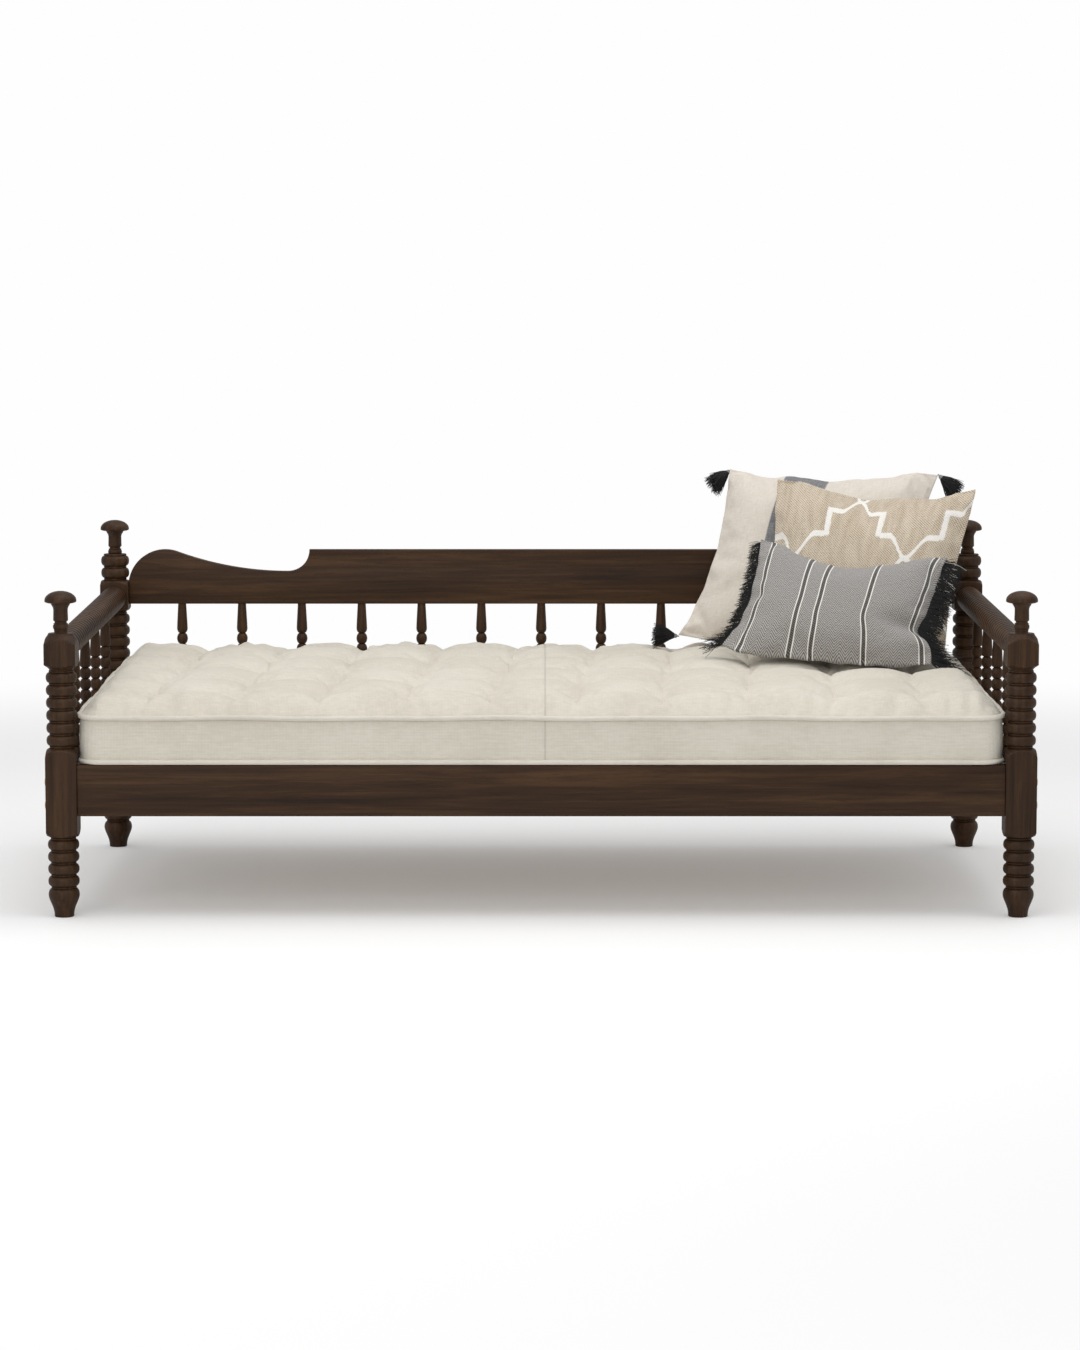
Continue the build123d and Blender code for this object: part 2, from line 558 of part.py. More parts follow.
class Cushion:
    """A cushion that stands on the mattress and leans back on what is behind it."""

    def __init__(self, size, slump, angles):
        self.width, self.height, self.thickness = size
        self.slump = slump
        lean, turn, roll = (math.radians(angle) for angle in angles)
        level = Vector(math.cos(turn), -math.sin(turn), 0)
        rising = Vector(math.sin(lean) * math.sin(turn), math.sin(lean) * math.cos(turn),
                        math.cos(lean))
        self.across = level * math.cos(roll) - rising * math.sin(roll)
        self.up = level * math.sin(roll) + rising * math.cos(roll)
        self.forward = level.cross(rising)
        self.centre = Vector(0, 0, 0)

    def offset(self, across, up, forward=0.0):
        """A point from the centre, in shares of half the width, height and thickness."""
        return (self.across * (across * self.width + up * self.slump) * 0.5
                + self.up * (up * self.height) * 0.5
                + self.forward * (forward * self.thickness) * 0.5)

    def corners(self, forward, share):
        """Offsets of the four corners of one section of its swell."""
        return [self.offset(across * share, up * share, forward)
                for across, up in ((-1, -1), (1, -1), (1, 1), (-1, 1))]

    def settle(self, x, normal, support):
        """Rests it on the mattress and against a plane behind it.

        normal is the plane's normal, away from the cushion, and support a point of it.
        Each round brings it to the plane, and then down to the pillows under it. Over a
        crease it stays near their level, as it would on stuffing that yields.
        """
        corners = [corner for section in SWELL_SHARES for corner in self.corners(*section)]
        touching = max(corners, key=normal.dot)
        underside = [self.offset(step * share, -share, forward) for forward, share
                     in SWELL_SHARES for step in UNDERSIDE_STEPS]
        z = mattress_top(0) + self.height / 2
        for _ in range(SETTLING_ROUNDS):
            y = (normal.dot(support - touching - Vector(x, 0, z)) - SEAT) / normal.Y
            self.centre = Vector(x, y, z)
            touches = [self.centre + offset for offset in underside]
            z -= min(touch.Z - max(pillow_height(touch.X, touch.Y),
                                   mattress_top(touch.Y) - CUSHION_SINK)
                     for touch in touches) - SEAT

    def front(self):
        """The middle of its front face."""
        return self.centre + self.offset(0, 0, 1)

    def solid(self):
        """Its stuffed shape, widest at the seam and flattened front and back."""
        return faceted([[self.centre + corner for corner in self.corners(*section)]
                        for section in SWELL_SHARES])

    def fringe(self, side, reach):
        """A flat fringe beside the seam of one end."""
        inset = 1 - 2 * FRINGE_INSET / self.height
        near = 1 + 2 * SEAT / self.width
        far = near + 2 * reach / self.width
        swell = FRINGE_THICKNESS / self.thickness
        corners = [self.centre + self.offset(side * across, up, -swell)
                   for across, up in ((near, -inset), (far, -inset), (far, inset), (near, inset))]
        return extrude(make_face(Polyline(*corners, close=True)), FRINGE_THICKNESS,
                       dir=self.forward)

    def tassel(self, corner, direction, start):
        """A tassel on one corner: a short cord, a neck and a wide end."""
        apex = self.centre + self.offset(*corner)
        axis = Vector(*direction).normalized()
        rings = ((start, TASSEL_CORD), (TASSEL_NECK_AT, TASSEL_NECK), (TASSEL_REACH, TASSEL_END))
        outlines = []
        for along, width in rings:
            outline = Plane(apex + axis * along, z_dir=axis) * RegularPolygon(width / 2, 6)
            outlines.append([tuple(vertex) for vertex in outline.vertices()])
        return faceted(outlines)


def settled_cushions():
    """The square, lattice and striped cushions, each leaning on the one behind it."""
    square = Cushion(SQUARE_SIZE, SQUARE_SLUMP, SQUARE_ANGLES_DEG)
    board_edge = Vector(INNER_X - STEP_INSET, HALF_Y - BOARD_THICKNESS / 2, BOARD_TOP)
    square.settle(INNER_X - SQUARE_INSET, -square.forward, board_edge)
    lattice = Cushion(LATTICE_SIZE, LATTICE_SLUMP, LATTICE_ANGLES_DEG)
    lattice.settle(INNER_X - LATTICE_INSET, -square.forward, square.front())
    stripe = Cushion(STRIPE_SIZE, STRIPE_SLUMP, STRIPE_ANGLES_DEG)
    stripe.settle(INNER_X - STRIPE_INSET, -lattice.forward, lattice.front())
    return square, lattice, stripe


def main():
    os.makedirs(OUT, exist_ok=True)
    names = {-1: "left", 1: "right"}

    for side, name in names.items():
        save("post_front_" + name, corner_post(side, -1))
        save("post_back_" + name, corner_post(side, 1))
        save("side_rail_" + name, side_rail(side))
        save("arm_" + name, arm(side))
        save("arm_spindles_" + name, *arm_spindles(side))
    save("front_rail", long_rail(FRONT_RAIL_Y))
    save("back_rail", long_rail(BACK_RAIL_Y))
    save("bed_bolts", *[bed_bolt(side, y, z) for side in names
                        for y in (FRONT_RAIL_Y, BACK_RAIL_Y) for z in BOLT_Z])
    save("bolt_nuts", *[nut(side, y, z) for side in names
                        for y in (FRONT_RAIL_Y, BACK_RAIL_Y) for z in BOLT_Z])

    save("ledger_front", ledger(FRONT_RAIL_Y + RAIL_THICKNESS / 2, 1))
    save("ledger_back", ledger(BACK_RAIL_Y - RAIL_THICKNESS / 2, -1))
    for index in range(SLAT_COUNT):
        save(f"slat_{index + 1:02d}", slat(index))

    save("back_board", back_board())
    save("board_dowels", *[dowel for side in names for dowel in board_dowels(side)])
    save("back_spindles", *back_spindles())

    square, lattice, stripe = settled_cushions()
    save("mattress", mattress())
    save("cushion_square", square.solid())
    save("cushion_lattice", lattice.solid())
    save("cushion_stripe", stripe.solid())
    save("cushion_tassels", *[square.tassel(*tassel) for tassel in zip(
        TASSEL_CORNER_SHARES, TASSEL_DIRECTIONS, TASSEL_STARTS)])
    save("cushion_fringe", *[stripe.fringe(side, reach)
                             for side, reach in zip(names, FRINGE_REACH)])


if __name__ == "__main__":
    main()
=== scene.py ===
"""Spool-turned daybed with a tufted mattress and three cushions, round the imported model."""
import logging
import math
from collections.abc import Callable, Iterable, Iterator, Sequence
from contextlib import contextmanager
from dataclasses import dataclass
from enum import Enum
from functools import cache

import bmesh
import bpy
import numpy as np
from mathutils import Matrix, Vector
from mathutils.bvhtree import BVHTree


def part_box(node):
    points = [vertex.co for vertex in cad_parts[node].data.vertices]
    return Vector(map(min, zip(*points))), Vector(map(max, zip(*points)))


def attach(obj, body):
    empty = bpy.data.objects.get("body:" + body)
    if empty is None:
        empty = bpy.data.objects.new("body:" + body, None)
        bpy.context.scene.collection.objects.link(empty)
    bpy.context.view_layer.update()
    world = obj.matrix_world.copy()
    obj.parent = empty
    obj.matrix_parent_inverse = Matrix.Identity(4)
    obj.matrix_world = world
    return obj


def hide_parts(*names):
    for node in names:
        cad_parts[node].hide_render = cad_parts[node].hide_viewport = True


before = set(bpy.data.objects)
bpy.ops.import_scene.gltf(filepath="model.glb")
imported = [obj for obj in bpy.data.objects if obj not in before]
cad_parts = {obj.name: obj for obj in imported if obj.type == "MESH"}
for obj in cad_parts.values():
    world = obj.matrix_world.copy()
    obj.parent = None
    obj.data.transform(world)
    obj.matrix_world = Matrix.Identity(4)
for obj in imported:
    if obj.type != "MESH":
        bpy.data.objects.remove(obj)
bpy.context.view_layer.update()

LOG = logging.getLogger("daybed")
MM = 0.001
Point = tuple[float, float, float]
Colour = tuple[float, float, float]
Array = np.ndarray
Material = bpy.types.Material
Piece = bpy.types.Object
Mesh = bpy.types.Mesh


def srgb(red: int, green: int, blue: int) -> Colour:
    """A linear colour from its 0 to 255 screen values."""
    shares = [value / 255 for value in (red, green, blue)]
    return tuple(s / 12.92 if s <= 0.04045 else ((s + 0.055) / 1.055) ** 2.4 for s in shares)


def node_box(name: str) -> tuple[Array, Array]:
    """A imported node's lowest and highest corners, in millimetres."""
    low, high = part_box(name)
    return np.array(low) / MM, np.array(high) / MM


def smoothstep(value: Array | float, low: float, high: float) -> Array:
    """Goes smoothly from 0 at low to 1 at high."""
    share = np.clip((value - low) / (high - low), 0, 1)
    return share * share * (3 - 2 * share)


# ---- Shader nodes ------------------------------------------------------------------------
def adds_math(operation: str, swapped: bool = False) -> Callable:
    """A method of Value that adds one Math node; swapped ones put the other value first."""
    def method(value: "Value", *others: "Value | float") -> "Value":
        inputs = (value, *others)
        return value.shader.node("ShaderNodeMath", {"operation": operation},
                                 *(reversed(inputs) if swapped else inputs))
    return method


class Value:
    """A number socket. Arithmetic on it adds Math nodes."""

    def __init__(self, shader: "Shader", socket: bpy.types.NodeSocket) -> None:
        self.shader = shader
        self.socket = socket

    __add__ = __radd__ = adds_math("ADD")
    __sub__ = adds_math("SUBTRACT")
    __rsub__ = adds_math("SUBTRACT", swapped=True)
    __mul__ = __rmul__ = adds_math("MULTIPLY")
    size = adds_math("ABSOLUTE")
    least = adds_math("MINIMUM")
    most = adds_math("MAXIMUM")
    pingpong = adds_math("PINGPONG")

    def wave(self, pitch: float) -> "Value":
        """Distance in shares, 0 to 1, from the nearest whole pitch to half a pitch away."""
        return self.pingpong(pitch / 2) * (2 / pitch)

    def ramp(self, low: float, high: float) -> "Value":
        """Goes smoothly from 0 where self is low to 1 where it is high."""
        return self.shader.node("ShaderNodeMapRange", {"interpolation_type": "SMOOTHSTEP"},
                                self, low, high, 0.0, 1.0)

    def near(self, centre: "Value | float", reach: float, fade: float) -> "Value":
        """1 within reach of a centre, and 0 beyond the fade."""
        return 1.0 - (self - centre).size().ramp(reach, reach + fade)


class Shader:
    """One material with a Principled shader, and the nodes that feed it."""

    def __init__(self, name: str, **constants: float | Sequence[float]) -> None:
        self.material = bpy.data.materials.new(name)
        self.material.use_nodes = True
        self.tree = self.material.node_tree
        self.principled = self.tree.nodes["Principled BSDF"]
        for socket, value in constants.items():
            self.principled.inputs[socket.replace("_", " ")].default_value = value

    def node(self, kind: str, settings: dict, *inputs, output: int | str = 0) -> Value:
        """Adds a node.

        Args:
            kind: the node's type.
            settings: its properties, set before its sockets are filled.
            inputs: values or links for its enabled sockets in order, None to leave one alone.
            output: which of its outputs comes back.

        Returns:
            The output, wrapped.
        """
        made = self.tree.nodes.new(kind)
        for key, value in settings.items():
            if key == "stops":
                self.fill_ramp(made.color_ramp, value)
            else:
                setattr(made, key, value)
        sockets = [socket for socket in made.inputs if socket.enabled]
        for socket, value in zip(sockets, inputs):
            self.feed(socket, value)
        if isinstance(output, int):
            return Value(self, [socket for socket in made.outputs if socket.enabled][output])
        return Value(self, made.outputs[output])

    @staticmethod
    def fill_ramp(ramp: bpy.types.ColorRamp, stops: Sequence[tuple[float, Colour]]) -> None:
        """Gives a colour ramp its stops."""
        while len(ramp.elements) < len(stops):
            ramp.elements.new(0.5)
        for element, (place, colour) in zip(ramp.elements, stops):
            element.position = place
            element.color = (*colour, 1)

    def feed(self, socket: bpy.types.NodeSocket, value) -> None:
        """Links a wrapped socket to a node's socket, or sets its value."""
        if value is None:
            return
        if isinstance(value, Value):
            self.tree.links.new(value.socket, socket)
        elif socket.type == "RGBA" and len(value) == 3:
            socket.default_value = (*value, 1)
        else:
            socket.default_value = value

    def place(self) -> Value:
        """Where a point is in its piece, in metres."""
        return self.node("ShaderNodeTexCoord", {}, output="Object")

    def stored(self, name: str) -> Value:
        """A vector stored on the mesh."""
        return self.node("ShaderNodeAttribute", {"attribute_name": name}, output="Vector")

    def axes(self, vector: Value) -> list[Value]:
        """The three numbers of a vector."""
        return [self.node("ShaderNodeSeparateXYZ", {}, vector, output=axis) for axis in "XYZ"]

    def vector(self, x: Value | float, y: Value | float, z: Value | float) -> Value:
        """A vector from three numbers."""
        return self.node("ShaderNodeCombineXYZ", {}, x, y, z)

    def stretched(self, vector: Value, scale: Point) -> Value:
        """A vector with each axis scaled."""
        return self.node("ShaderNodeVectorMath", {"operation": "MULTIPLY"}, vector, scale)

    def noise(self, vector: Value, scale: float, detail: float = 3.0,
              roughness: float = 0.5) -> Value:
        """Smooth noise, about 0 to 1."""
        return self.node("ShaderNodeTexNoise", {}, vector, scale, detail, roughness)

    def slub(self, vector: Value, scale: Point, roughness: float = 0.6) -> Value:
        """Noise drawn out along the yarns, by the scale on each axis."""
        return self.noise(self.stretched(vector, scale), 1.0, 3.0, roughness)

    def mix(self, share: Value | float, first: Value | Colour, second: Value | Colour) -> Value:
        """A colour between two colours."""
        return self.node("ShaderNodeMix", {"data_type": "RGBA"}, share, first, second)

    def finish(self, colour: Value, roughness: Value | None = None,
               height: Value | None = None, depth: float = 0.001) -> Material:
        """Feeds the shader.

        Args:
            colour: the base colour.
            roughness: the roughness where it varies.
            height: a relief, 0 to 1.
            depth: the relief's depth in metres.

        Returns:
            The material.
        """
        self.feed(self.principled.inputs["Base Color"], colour)
        if roughness is not None:
            self.feed(self.principled.inputs["Roughness"], roughness)
        if height is not None:
            bump = self.tree.nodes.new("ShaderNodeBump")
            bump.inputs["Distance"].default_value = depth
            bump.inputs["Strength"].default_value = 1.0
            self.feed(bump.inputs["Height"], height)
            self.tree.links.new(bump.outputs["Normal"], self.principled.inputs["Normal"])
        return self.material


# ---- Hard finishes -----------------------------------------------------------------------
class Grain(Enum):
    """Which way a piece's wood grain runs."""

    LONG = (1.0, 22.0, 22.0)
    DEEP = (22.0, 1.0, 22.0)
    UPRIGHT = (22.0, 22.0, 1.0)


@dataclass(frozen=True)
class Wood:
    """A satin wood finish with long grain, fine pores and faint figure."""

    name: str
    dark: Colour
    middle: Colour
    light: Colour
    roughness: float
    coat: float

    @cache
    def material(self, grain: Grain) -> Material:
        """Its material, for the way the grain runs."""
        shader = Shader(f"{self.name}_{grain.name.lower()}", Coat_Weight=self.coat,
                        Coat_Roughness=0.28, Specular_IOR_Level=0.2)
        along = shader.stretched(shader.place(), grain.value)
        wander = shader.noise(along, 0.9, 2.0) * 0.8
        bent = shader.node("ShaderNodeVectorMath", {"operation": "ADD"}, along,
                           shader.vector(wander, wander, wander))
        figure = shader.noise(bent, 1.1, 4.0, 0.55)
        streaks = shader.noise(bent, 5.5, 5.0, 0.6)
        pores = shader.noise(shader.stretched(bent, (3, 3, 3)), 9.0, 2.0, 0.7).ramp(0.56, 0.72)
        stops = ((0.34, self.dark), (0.5, self.middle), (0.66, self.light))
        colour = shader.node("ShaderNodeValToRGB", {"stops": stops},
                             figure * 0.55 + streaks * 0.45)
        return shader.finish(shader.mix(pores * 0.45, colour, self.dark),
                             streaks * 0.16 + pores * 0.1 + self.roughness,
                             streaks * 0.35 - pores, 0.00012)


@dataclass(frozen=True)
class Metal:
    """A worn metal: plated or plain, with fine turning marks and a little tarnish."""

    name: str
    bright: Colour
    dull: Colour
    roughness: float

    @cache
    def material(self) -> Material:
        """Its material."""
        shader = Shader(self.name, Metallic=0.9)
        place = shader.place()
        tarnish = shader.noise(place, 180.0, 4.0, 0.6).ramp(0.35, 0.7)
        marks = shader.noise(shader.stretched(place, (1, 8, 8)), 260.0, 2.0)
        return shader.finish(shader.mix(tarnish, self.bright, self.dull),
                             marks * 0.15 + tarnish * 0.15 + self.roughness, marks, 0.00005)


WALNUT = Wood("walnut", dark=srgb(33, 19, 8), middle=srgb(56, 36, 19), light=srgb(78, 54, 33),
              roughness=0.42, coat=0.04)
PINE = Wood("pine", dark=srgb(176, 137, 92), middle=srgb(205, 171, 124),
            light=srgb(221, 192, 149), roughness=0.52, coat=0.0)
COPPERED = Metal("coppered_steel", bright=srgb(214, 176, 140), dull=srgb(160, 118, 84),
                 roughness=0.3)
ZINCED = Metal("zinced_steel", bright=srgb(190, 190, 188), dull=srgb(140, 140, 142),
               roughness=0.35)


# ---- Meshes ------------------------------------------------------------------------------
SMOOTH_ANGLE = math.radians(38)
EDGE_ANGLE = math.radians(60)        # flatter edges than this aren't eased


def unit(vectors: Sequence[float] | Array) -> Array:
    """Vectors along the last axis, at a length of 1."""
    return vectors / np.linalg.norm(vectors, axis=-1, keepdims=True)


def quads(index: Array, flipped: bool = False) -> list[list[int]]:
    """The faces between neighbours in a grid of point numbers."""
    corners = [index[:-1, :-1], index[:-1, 1:], index[1:, 1:], index[1:, :-1]]
    if flipped:
        corners[1], corners[3] = corners[3], corners[1]
    return np.stack(corners, axis=-1).reshape(-1, 4).tolist()


def vertices(piece: Piece) -> Array:
    """Its vertices' places, in metres."""
    return np.array([vertex.co for vertex in piece.data.vertices])


def move_vertices(piece: Piece, places: Array) -> None:
    """Puts its vertices at new places, in metres."""
    piece.data.vertices.foreach_set("co", places.ravel())
    piece.data.update()


@contextmanager
def edited(mesh: Mesh) -> Iterator[bmesh.types.BMesh]:
    """Opens a mesh for editing, and writes it back."""
    work = bmesh.new()
    work.from_mesh(mesh)
    yield work
    work.to_mesh(mesh)
    work.free()


def skin(mesh: Mesh, material: Material) -> Mesh:
    """Gives a mesh its material, and smooth shading between sharp edges."""
    mesh.materials.clear()
    mesh.materials.append(material)
    mesh.shade_smooth()
    mesh.set_sharp_from_angle(angle=SMOOTH_ANGLE)
    return mesh


class Form:
    """Points in millimetres and their faces, gathered before they become one mesh."""

    def __init__(self) -> None:
        self.points: list[Array] = []
        self.faces: list[list[int]] = []
        self.count = 0

    def add(self, points: Array, faces: Iterable[Sequence[int]]) -> None:
        """Adds points, and faces that number them from 0."""
        self.faces += [[self.count + index for index in face] for face in faces]
        self.points.append(points.reshape(-1, 3))
        self.count += len(self.points[-1])

    def rings(self, rings: Array, at: Sequence[float] = (0, 0, 0),
              axes: Sequence[Sequence[float]] = np.eye(3), capped: bool = True,
              looped: bool = False) -> "Form":
        """Adds a skin round a stack of rings.

        Args:
            rings: an array of rows, columns and xyz.
            at: where their origin goes.
            axes: the ways their x, y and z go.
            capped: whether a face closes the first ring and the last.
            looped: whether the last ring joins the first.

        Returns:
            The form itself.
        """
        rows, columns = rings.shape[:2]
        index = np.arange(rows * columns).reshape(rows, columns)
        faces = quads(np.pad(index, ((0, int(looped)), (0, 1)), mode="wrap"))
        if capped:
            faces += [index[0, ::-1].tolist(), index[-1].tolist()]
        self.add(rings @ np.array(axes) + np.array(at), faces)
        return self

    def mesh(self, name: str) -> Mesh:
        """Its mesh."""
        mesh = bpy.data.meshes.new(name)
        mesh.from_pydata((np.concatenate(self.points) * MM).tolist(), [], self.faces)
        mesh.validate()
        return mesh

    def piece(self, name: str, material: Material, body: str, slot: str,
              *replaces: str, smooth: bool = True) -> Piece:
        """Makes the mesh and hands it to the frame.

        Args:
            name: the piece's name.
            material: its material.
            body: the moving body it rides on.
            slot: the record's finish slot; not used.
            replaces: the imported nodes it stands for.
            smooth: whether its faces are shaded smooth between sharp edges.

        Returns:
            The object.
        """
        mesh = self.mesh(name)
        if smooth:
            skin(mesh, material)
        else:
            mesh.materials.append(material)
        return hand_over(bpy.data.objects.new(name, mesh), body, slot, *replaces)


def hand_over(piece: Piece, body: str, slot: str, *replaces: str) -> Piece:
    """Puts a finished piece in the scene, on its body, and reports it."""
    if piece.name not in bpy.context.scene.collection.objects:
        bpy.context.scene.collection.objects.link(piece)
    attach(piece, body)
    if replaces:
        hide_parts(*replaces)
    LOG.info("%s: %d faces on %s", piece.name, len(piece.data.polygons), body)
    return piece


def soft_least(first: Array, second: Array, ease: float) -> Array:
    """The lower of two arrays, rounded where they cross."""
    return (first + second - np.sqrt((first - second) ** 2 + ease ** 2)) / 2


class Turning:
    """A lathe outline, built upward from a radius and a height, in millimetres."""

    def __init__(self, radius: float, height: float) -> None:
        self.points: list[tuple[float, float, bool]] = [(radius, height, False)]

    def line(self, radius: float, height: float, squared: bool = False) -> "Turning":
        """Goes straight to a radius at a height; squared stretches are cut to square stock."""
        self.points.append((radius, height, squared))
        return self

    def curve(self, radius: float, height: float, sideways_first: bool,
              fullness: float = 1.0, rows: int = 6, squared: bool = False) -> "Turning":
        """Goes to a radius at a height on a quarter of an oval.

        Args:
            radius: where it ends.
            height: where it ends.
            sideways_first: it leaves level and arrives upright, or else the other way round.
            fullness: 1 for an oval, less for a squarer turn, 2 for a straight line.
            rows: how many points it takes.
            squared: it belongs to a square block.

        Returns:
            The outline itself.
        """
        start_radius, start_height, _ = self.points[-1]
        for step in range(1, rows + 1):
            angle = step / rows * math.pi / 2
            rise, fall = math.sin(angle) ** fullness, 1 - math.cos(angle) ** fullness
            across, up = (rise, fall) if sideways_first else (fall, rise)
            self.points.append((start_radius + across * (radius - start_radius),
                                start_height + up * (height - start_height), squared))
        return self

    def flow(self, radius: float, height: float, delay: float = 1.0, rows: int = 9) -> "Turning":
        """Goes to a radius at a height on a smooth S."""
        start_radius, start_height, _ = self.points[-1]
        for step in range(1, rows + 1):
            share = step / rows
            turn = float(smoothstep(share ** delay, 0, 1))
            self.line(start_radius + turn * (radius - start_radius),
                      start_height + share * (height - start_height))
        return self

    def bead(self, radius: float, rise: float, fullness: float = 1.0, rows: int = 6) -> "Turning":
        """Bulges out to a radius half way up a rise, and comes back in."""
        start, base, _ = self.points[-1]
        self.curve(radius, base + rise / 2, True, fullness, rows)
        return self.curve(start, base + rise, False, fullness, rows)

    def rings(self, angles: Array, half_stock: float = 0.0) -> Array:
        """The outline turned about Z.

        Args:
            angles: where round the axis its points lie, in radians.
            half_stock: half the side of the square stock, for its squared stretches.

        Returns:
            Rows of rings of points.
        """
        radius, height, squared = (np.array(column) for column in zip(*self.points))
        reach = np.repeat(radius[:, None], len(angles), axis=1)
        if half_stock:
            stock = half_stock / np.maximum(np.abs(np.cos(angles)), np.abs(np.sin(angles)))
            eased = soft_least(reach, np.repeat(stock[None, :], len(radius), axis=0), BLOCK_EASE)
            reach = np.where(squared[:, None], eased, reach)
        return np.stack([reach * np.cos(angles), reach * np.sin(angles),
                         np.repeat(height[:, None], len(angles), axis=1)], axis=-1)


def round_angles(count: int) -> Array:
    """Even angles round a circle."""
    return np.arange(count) * 2 * math.pi / count


def square_angles() -> Array:
    """Angles round a post, with two at each corner of its square blocks."""
    corners = [corner + offset for corner in range(45, 360, 90) for offset in (-1.2, 1.2)]
    return np.radians(np.array(sorted([*range(0, 360, 6), *corners])))


def tube(path: Array, side: Array, rise: Array, radius: Array | float,
         count: int) -> Array:
    """Rings of points round a path, spread along a side and a rise at each of its points."""
    angles = round_angles(count)[:, None]
    side, rise = (np.broadcast_to(way, path.shape)[:, None] for way in (side, rise))
    return path[:, None] + np.broadcast_to(radius, len(path))[:, None, None] * (
        np.cos(angles) * side + np.sin(angles) * rise)


# ---- Turned frame ------------------------------------------------------------------------
BLOCK_EASE = 0.9         # rounding where a turned shoulder cuts a flat, in millimetres
HALF_STOCK = 32.0        # half the square stock, and the spools' radius
CORNER = HALF_STOCK * math.sqrt(2) + 1
NECK = 24.2              # radius beside the thin ring between two spools
RING_HEIGHT = 4.2        # thin ring between two spools
RING_RADIUS = 26.0


def spool_stack(outline: Turning, count: int, pitch: float) -> None:
    """Adds spools, with a thin ring under each of them and one on top."""
    for spool in range(count + 1):
        outline.bead(RING_RADIUS, RING_HEIGHT, 0.8, rows=3)
        if spool < count:
            outline.bead(HALF_STOCK, pitch - RING_HEIGHT, 0.92, rows=8)


@dataclass
class Post:
    """A corner post turned from square stock. Heights are above the floor, in millimetres."""

    lower_top: float             # top of the lower block
    shaft_spools: int
    shaft_pitch: float
    upper_low: float             # where the upper block's corners start
    upper_high: float            # where they end
    upper_top: float
    dome_radius: float           # radius at the top of the upper block
    crown_spools: int
    finial_z: float
    foot_top: float = 61.5
    leg_spools: int = 4
    leg_pitch: float = 25.2
    lower_low: float = 179.0     # where the lower block's corners start
    lower_shoulder: float = 23.4
    crown_pitch: float = 27.65

    def foot(self) -> Turning:
        """The vase foot."""
        outline = Turning(18.6, 0.0)
        outline.line(20.0, 1.2).flow(31.8, 46.0, delay=1.25, rows=12)
        return outline.curve(NECK, self.foot_top - RING_HEIGHT / 2, False, 1.0, rows=7)

    def blocks(self, outline: Turning) -> None:
        """The leg, the lower block, the shaft and the upper block."""
        spool_stack(outline, self.leg_spools, self.leg_pitch)
        outline.curve(CORNER, self.lower_low, True, 1.5, rows=12, squared=True)
        outline.line(CORNER, self.lower_top - self.lower_shoulder, squared=True)
        outline.curve(NECK, self.lower_top - RING_HEIGHT / 2, False, 1.45, rows=16, squared=True)
        spool_stack(outline, self.shaft_spools, self.shaft_pitch)
        outline.curve(CORNER, self.upper_low, False, 1.3, rows=12, squared=True)
        outline.line(CORNER, self.upper_high, squared=True)

    def finial(self, outline: Turning) -> None:
        """The mushroom finial on its grooved stem."""
        base = self.finial_z
        outline.line(14.2, base).bead(15.8, 8.8, 0.9, rows=4)
        outline.line(14.8, base + 11.4).curve(12.2, base + 13.4, True, 1.0, rows=3)
        outline.curve(14.6, base + 16.8, False, 1.0, rows=3)
        outline.line(15.1, base + 17.6).flow(14.7, base + 38.0, rows=4)
        outline.flow(19.8, base + 52.4, delay=1.5, rows=8)
        outline.curve(32.0, base + 55.6, True, 1.2, rows=5)
        outline.curve(32.5, base + 57.0, True, 1.0, rows=3).line(32.4, base + 58.4)
        outline.curve(0.4, base + 77.7, False, 1.0, rows=14)

    def outline(self) -> Turning:
        """The whole outline, floor to finial."""
        outline = self.foot()
        self.blocks(outline)
        if self.crown_spools:
            outline.curve(NECK, self.upper_top - RING_HEIGHT / 2, False, 1.4, 14, squared=True)
            spool_stack(outline, self.crown_spools, self.crown_pitch)
        else:
            outline.curve(self.dome_radius, self.upper_top, True, 1.6, rows=14, squared=True)
            outline.line(15.0, self.upper_top + 0.5).curve(13.4, self.upper_top + 2.4, True)
        self.finial(outline)
        return outline

    def build(self, name: str, x: float, y: float) -> None:
        """Stands the post at its corner."""
        rings = self.outline().rings(square_angles(), HALF_STOCK)
        Form().rings(rings, (x, y, 0)).piece(
            f"turned_{name}", WALNUT.material(Grain.UPRIGHT), "frame", "walnut", name)


FRONT_POST = Post(lower_top=351.6, shaft_spools=6, shaft_pitch=25.85, upper_low=521.5,
                  upper_high=563.3, upper_top=584.6, dome_radius=25.4, crown_spools=0,
                  finial_z=593.2)
BACK_POST = Post(lower_top=357.2, shaft_spools=7, shaft_pitch=26.5, upper_low=553.4,
                 upper_high=606.5, upper_top=621.5, dome_radius=NECK, crown_spools=2,
                 finial_z=678.9)


@dataclass
class Spindle:
    """A baluster of stacked beads under a tapered shaft."""

    bottom: float
    top: float
    beads: int
    pitch: float
    shaft: float = 57.0
    neck_room: float = 11.0      # from the highest neck to the shaft's widest place
    bead_radius: float = 12.5
    neck_radius: float = 6.2
    swell_radius: float = 12.25
    top_radius: float = 9.25

    def rings(self) -> Array:
        """Its skin about the Z axis."""
        neck_z = self.top - self.shaft - self.neck_room
        outline = Turning(self.swell_radius, self.bottom)
        outline.line(self.swell_radius, neck_z - self.beads * self.pitch - 6)
        outline.curve(self.neck_radius, neck_z - self.beads * self.pitch, False, 1.0, rows=4)
        for _ in range(self.beads):
            outline.bead(self.bead_radius, self.pitch, 1.1, rows=6)
        outline.curve(self.swell_radius, neck_z + self.neck_room, True, 1.1, rows=6)
        outline.line(self.swell_radius - 0.6, neck_z + self.neck_room + 14)
        outline.line(self.top_radius, self.top)
        return outline.rings(round_angles(24))


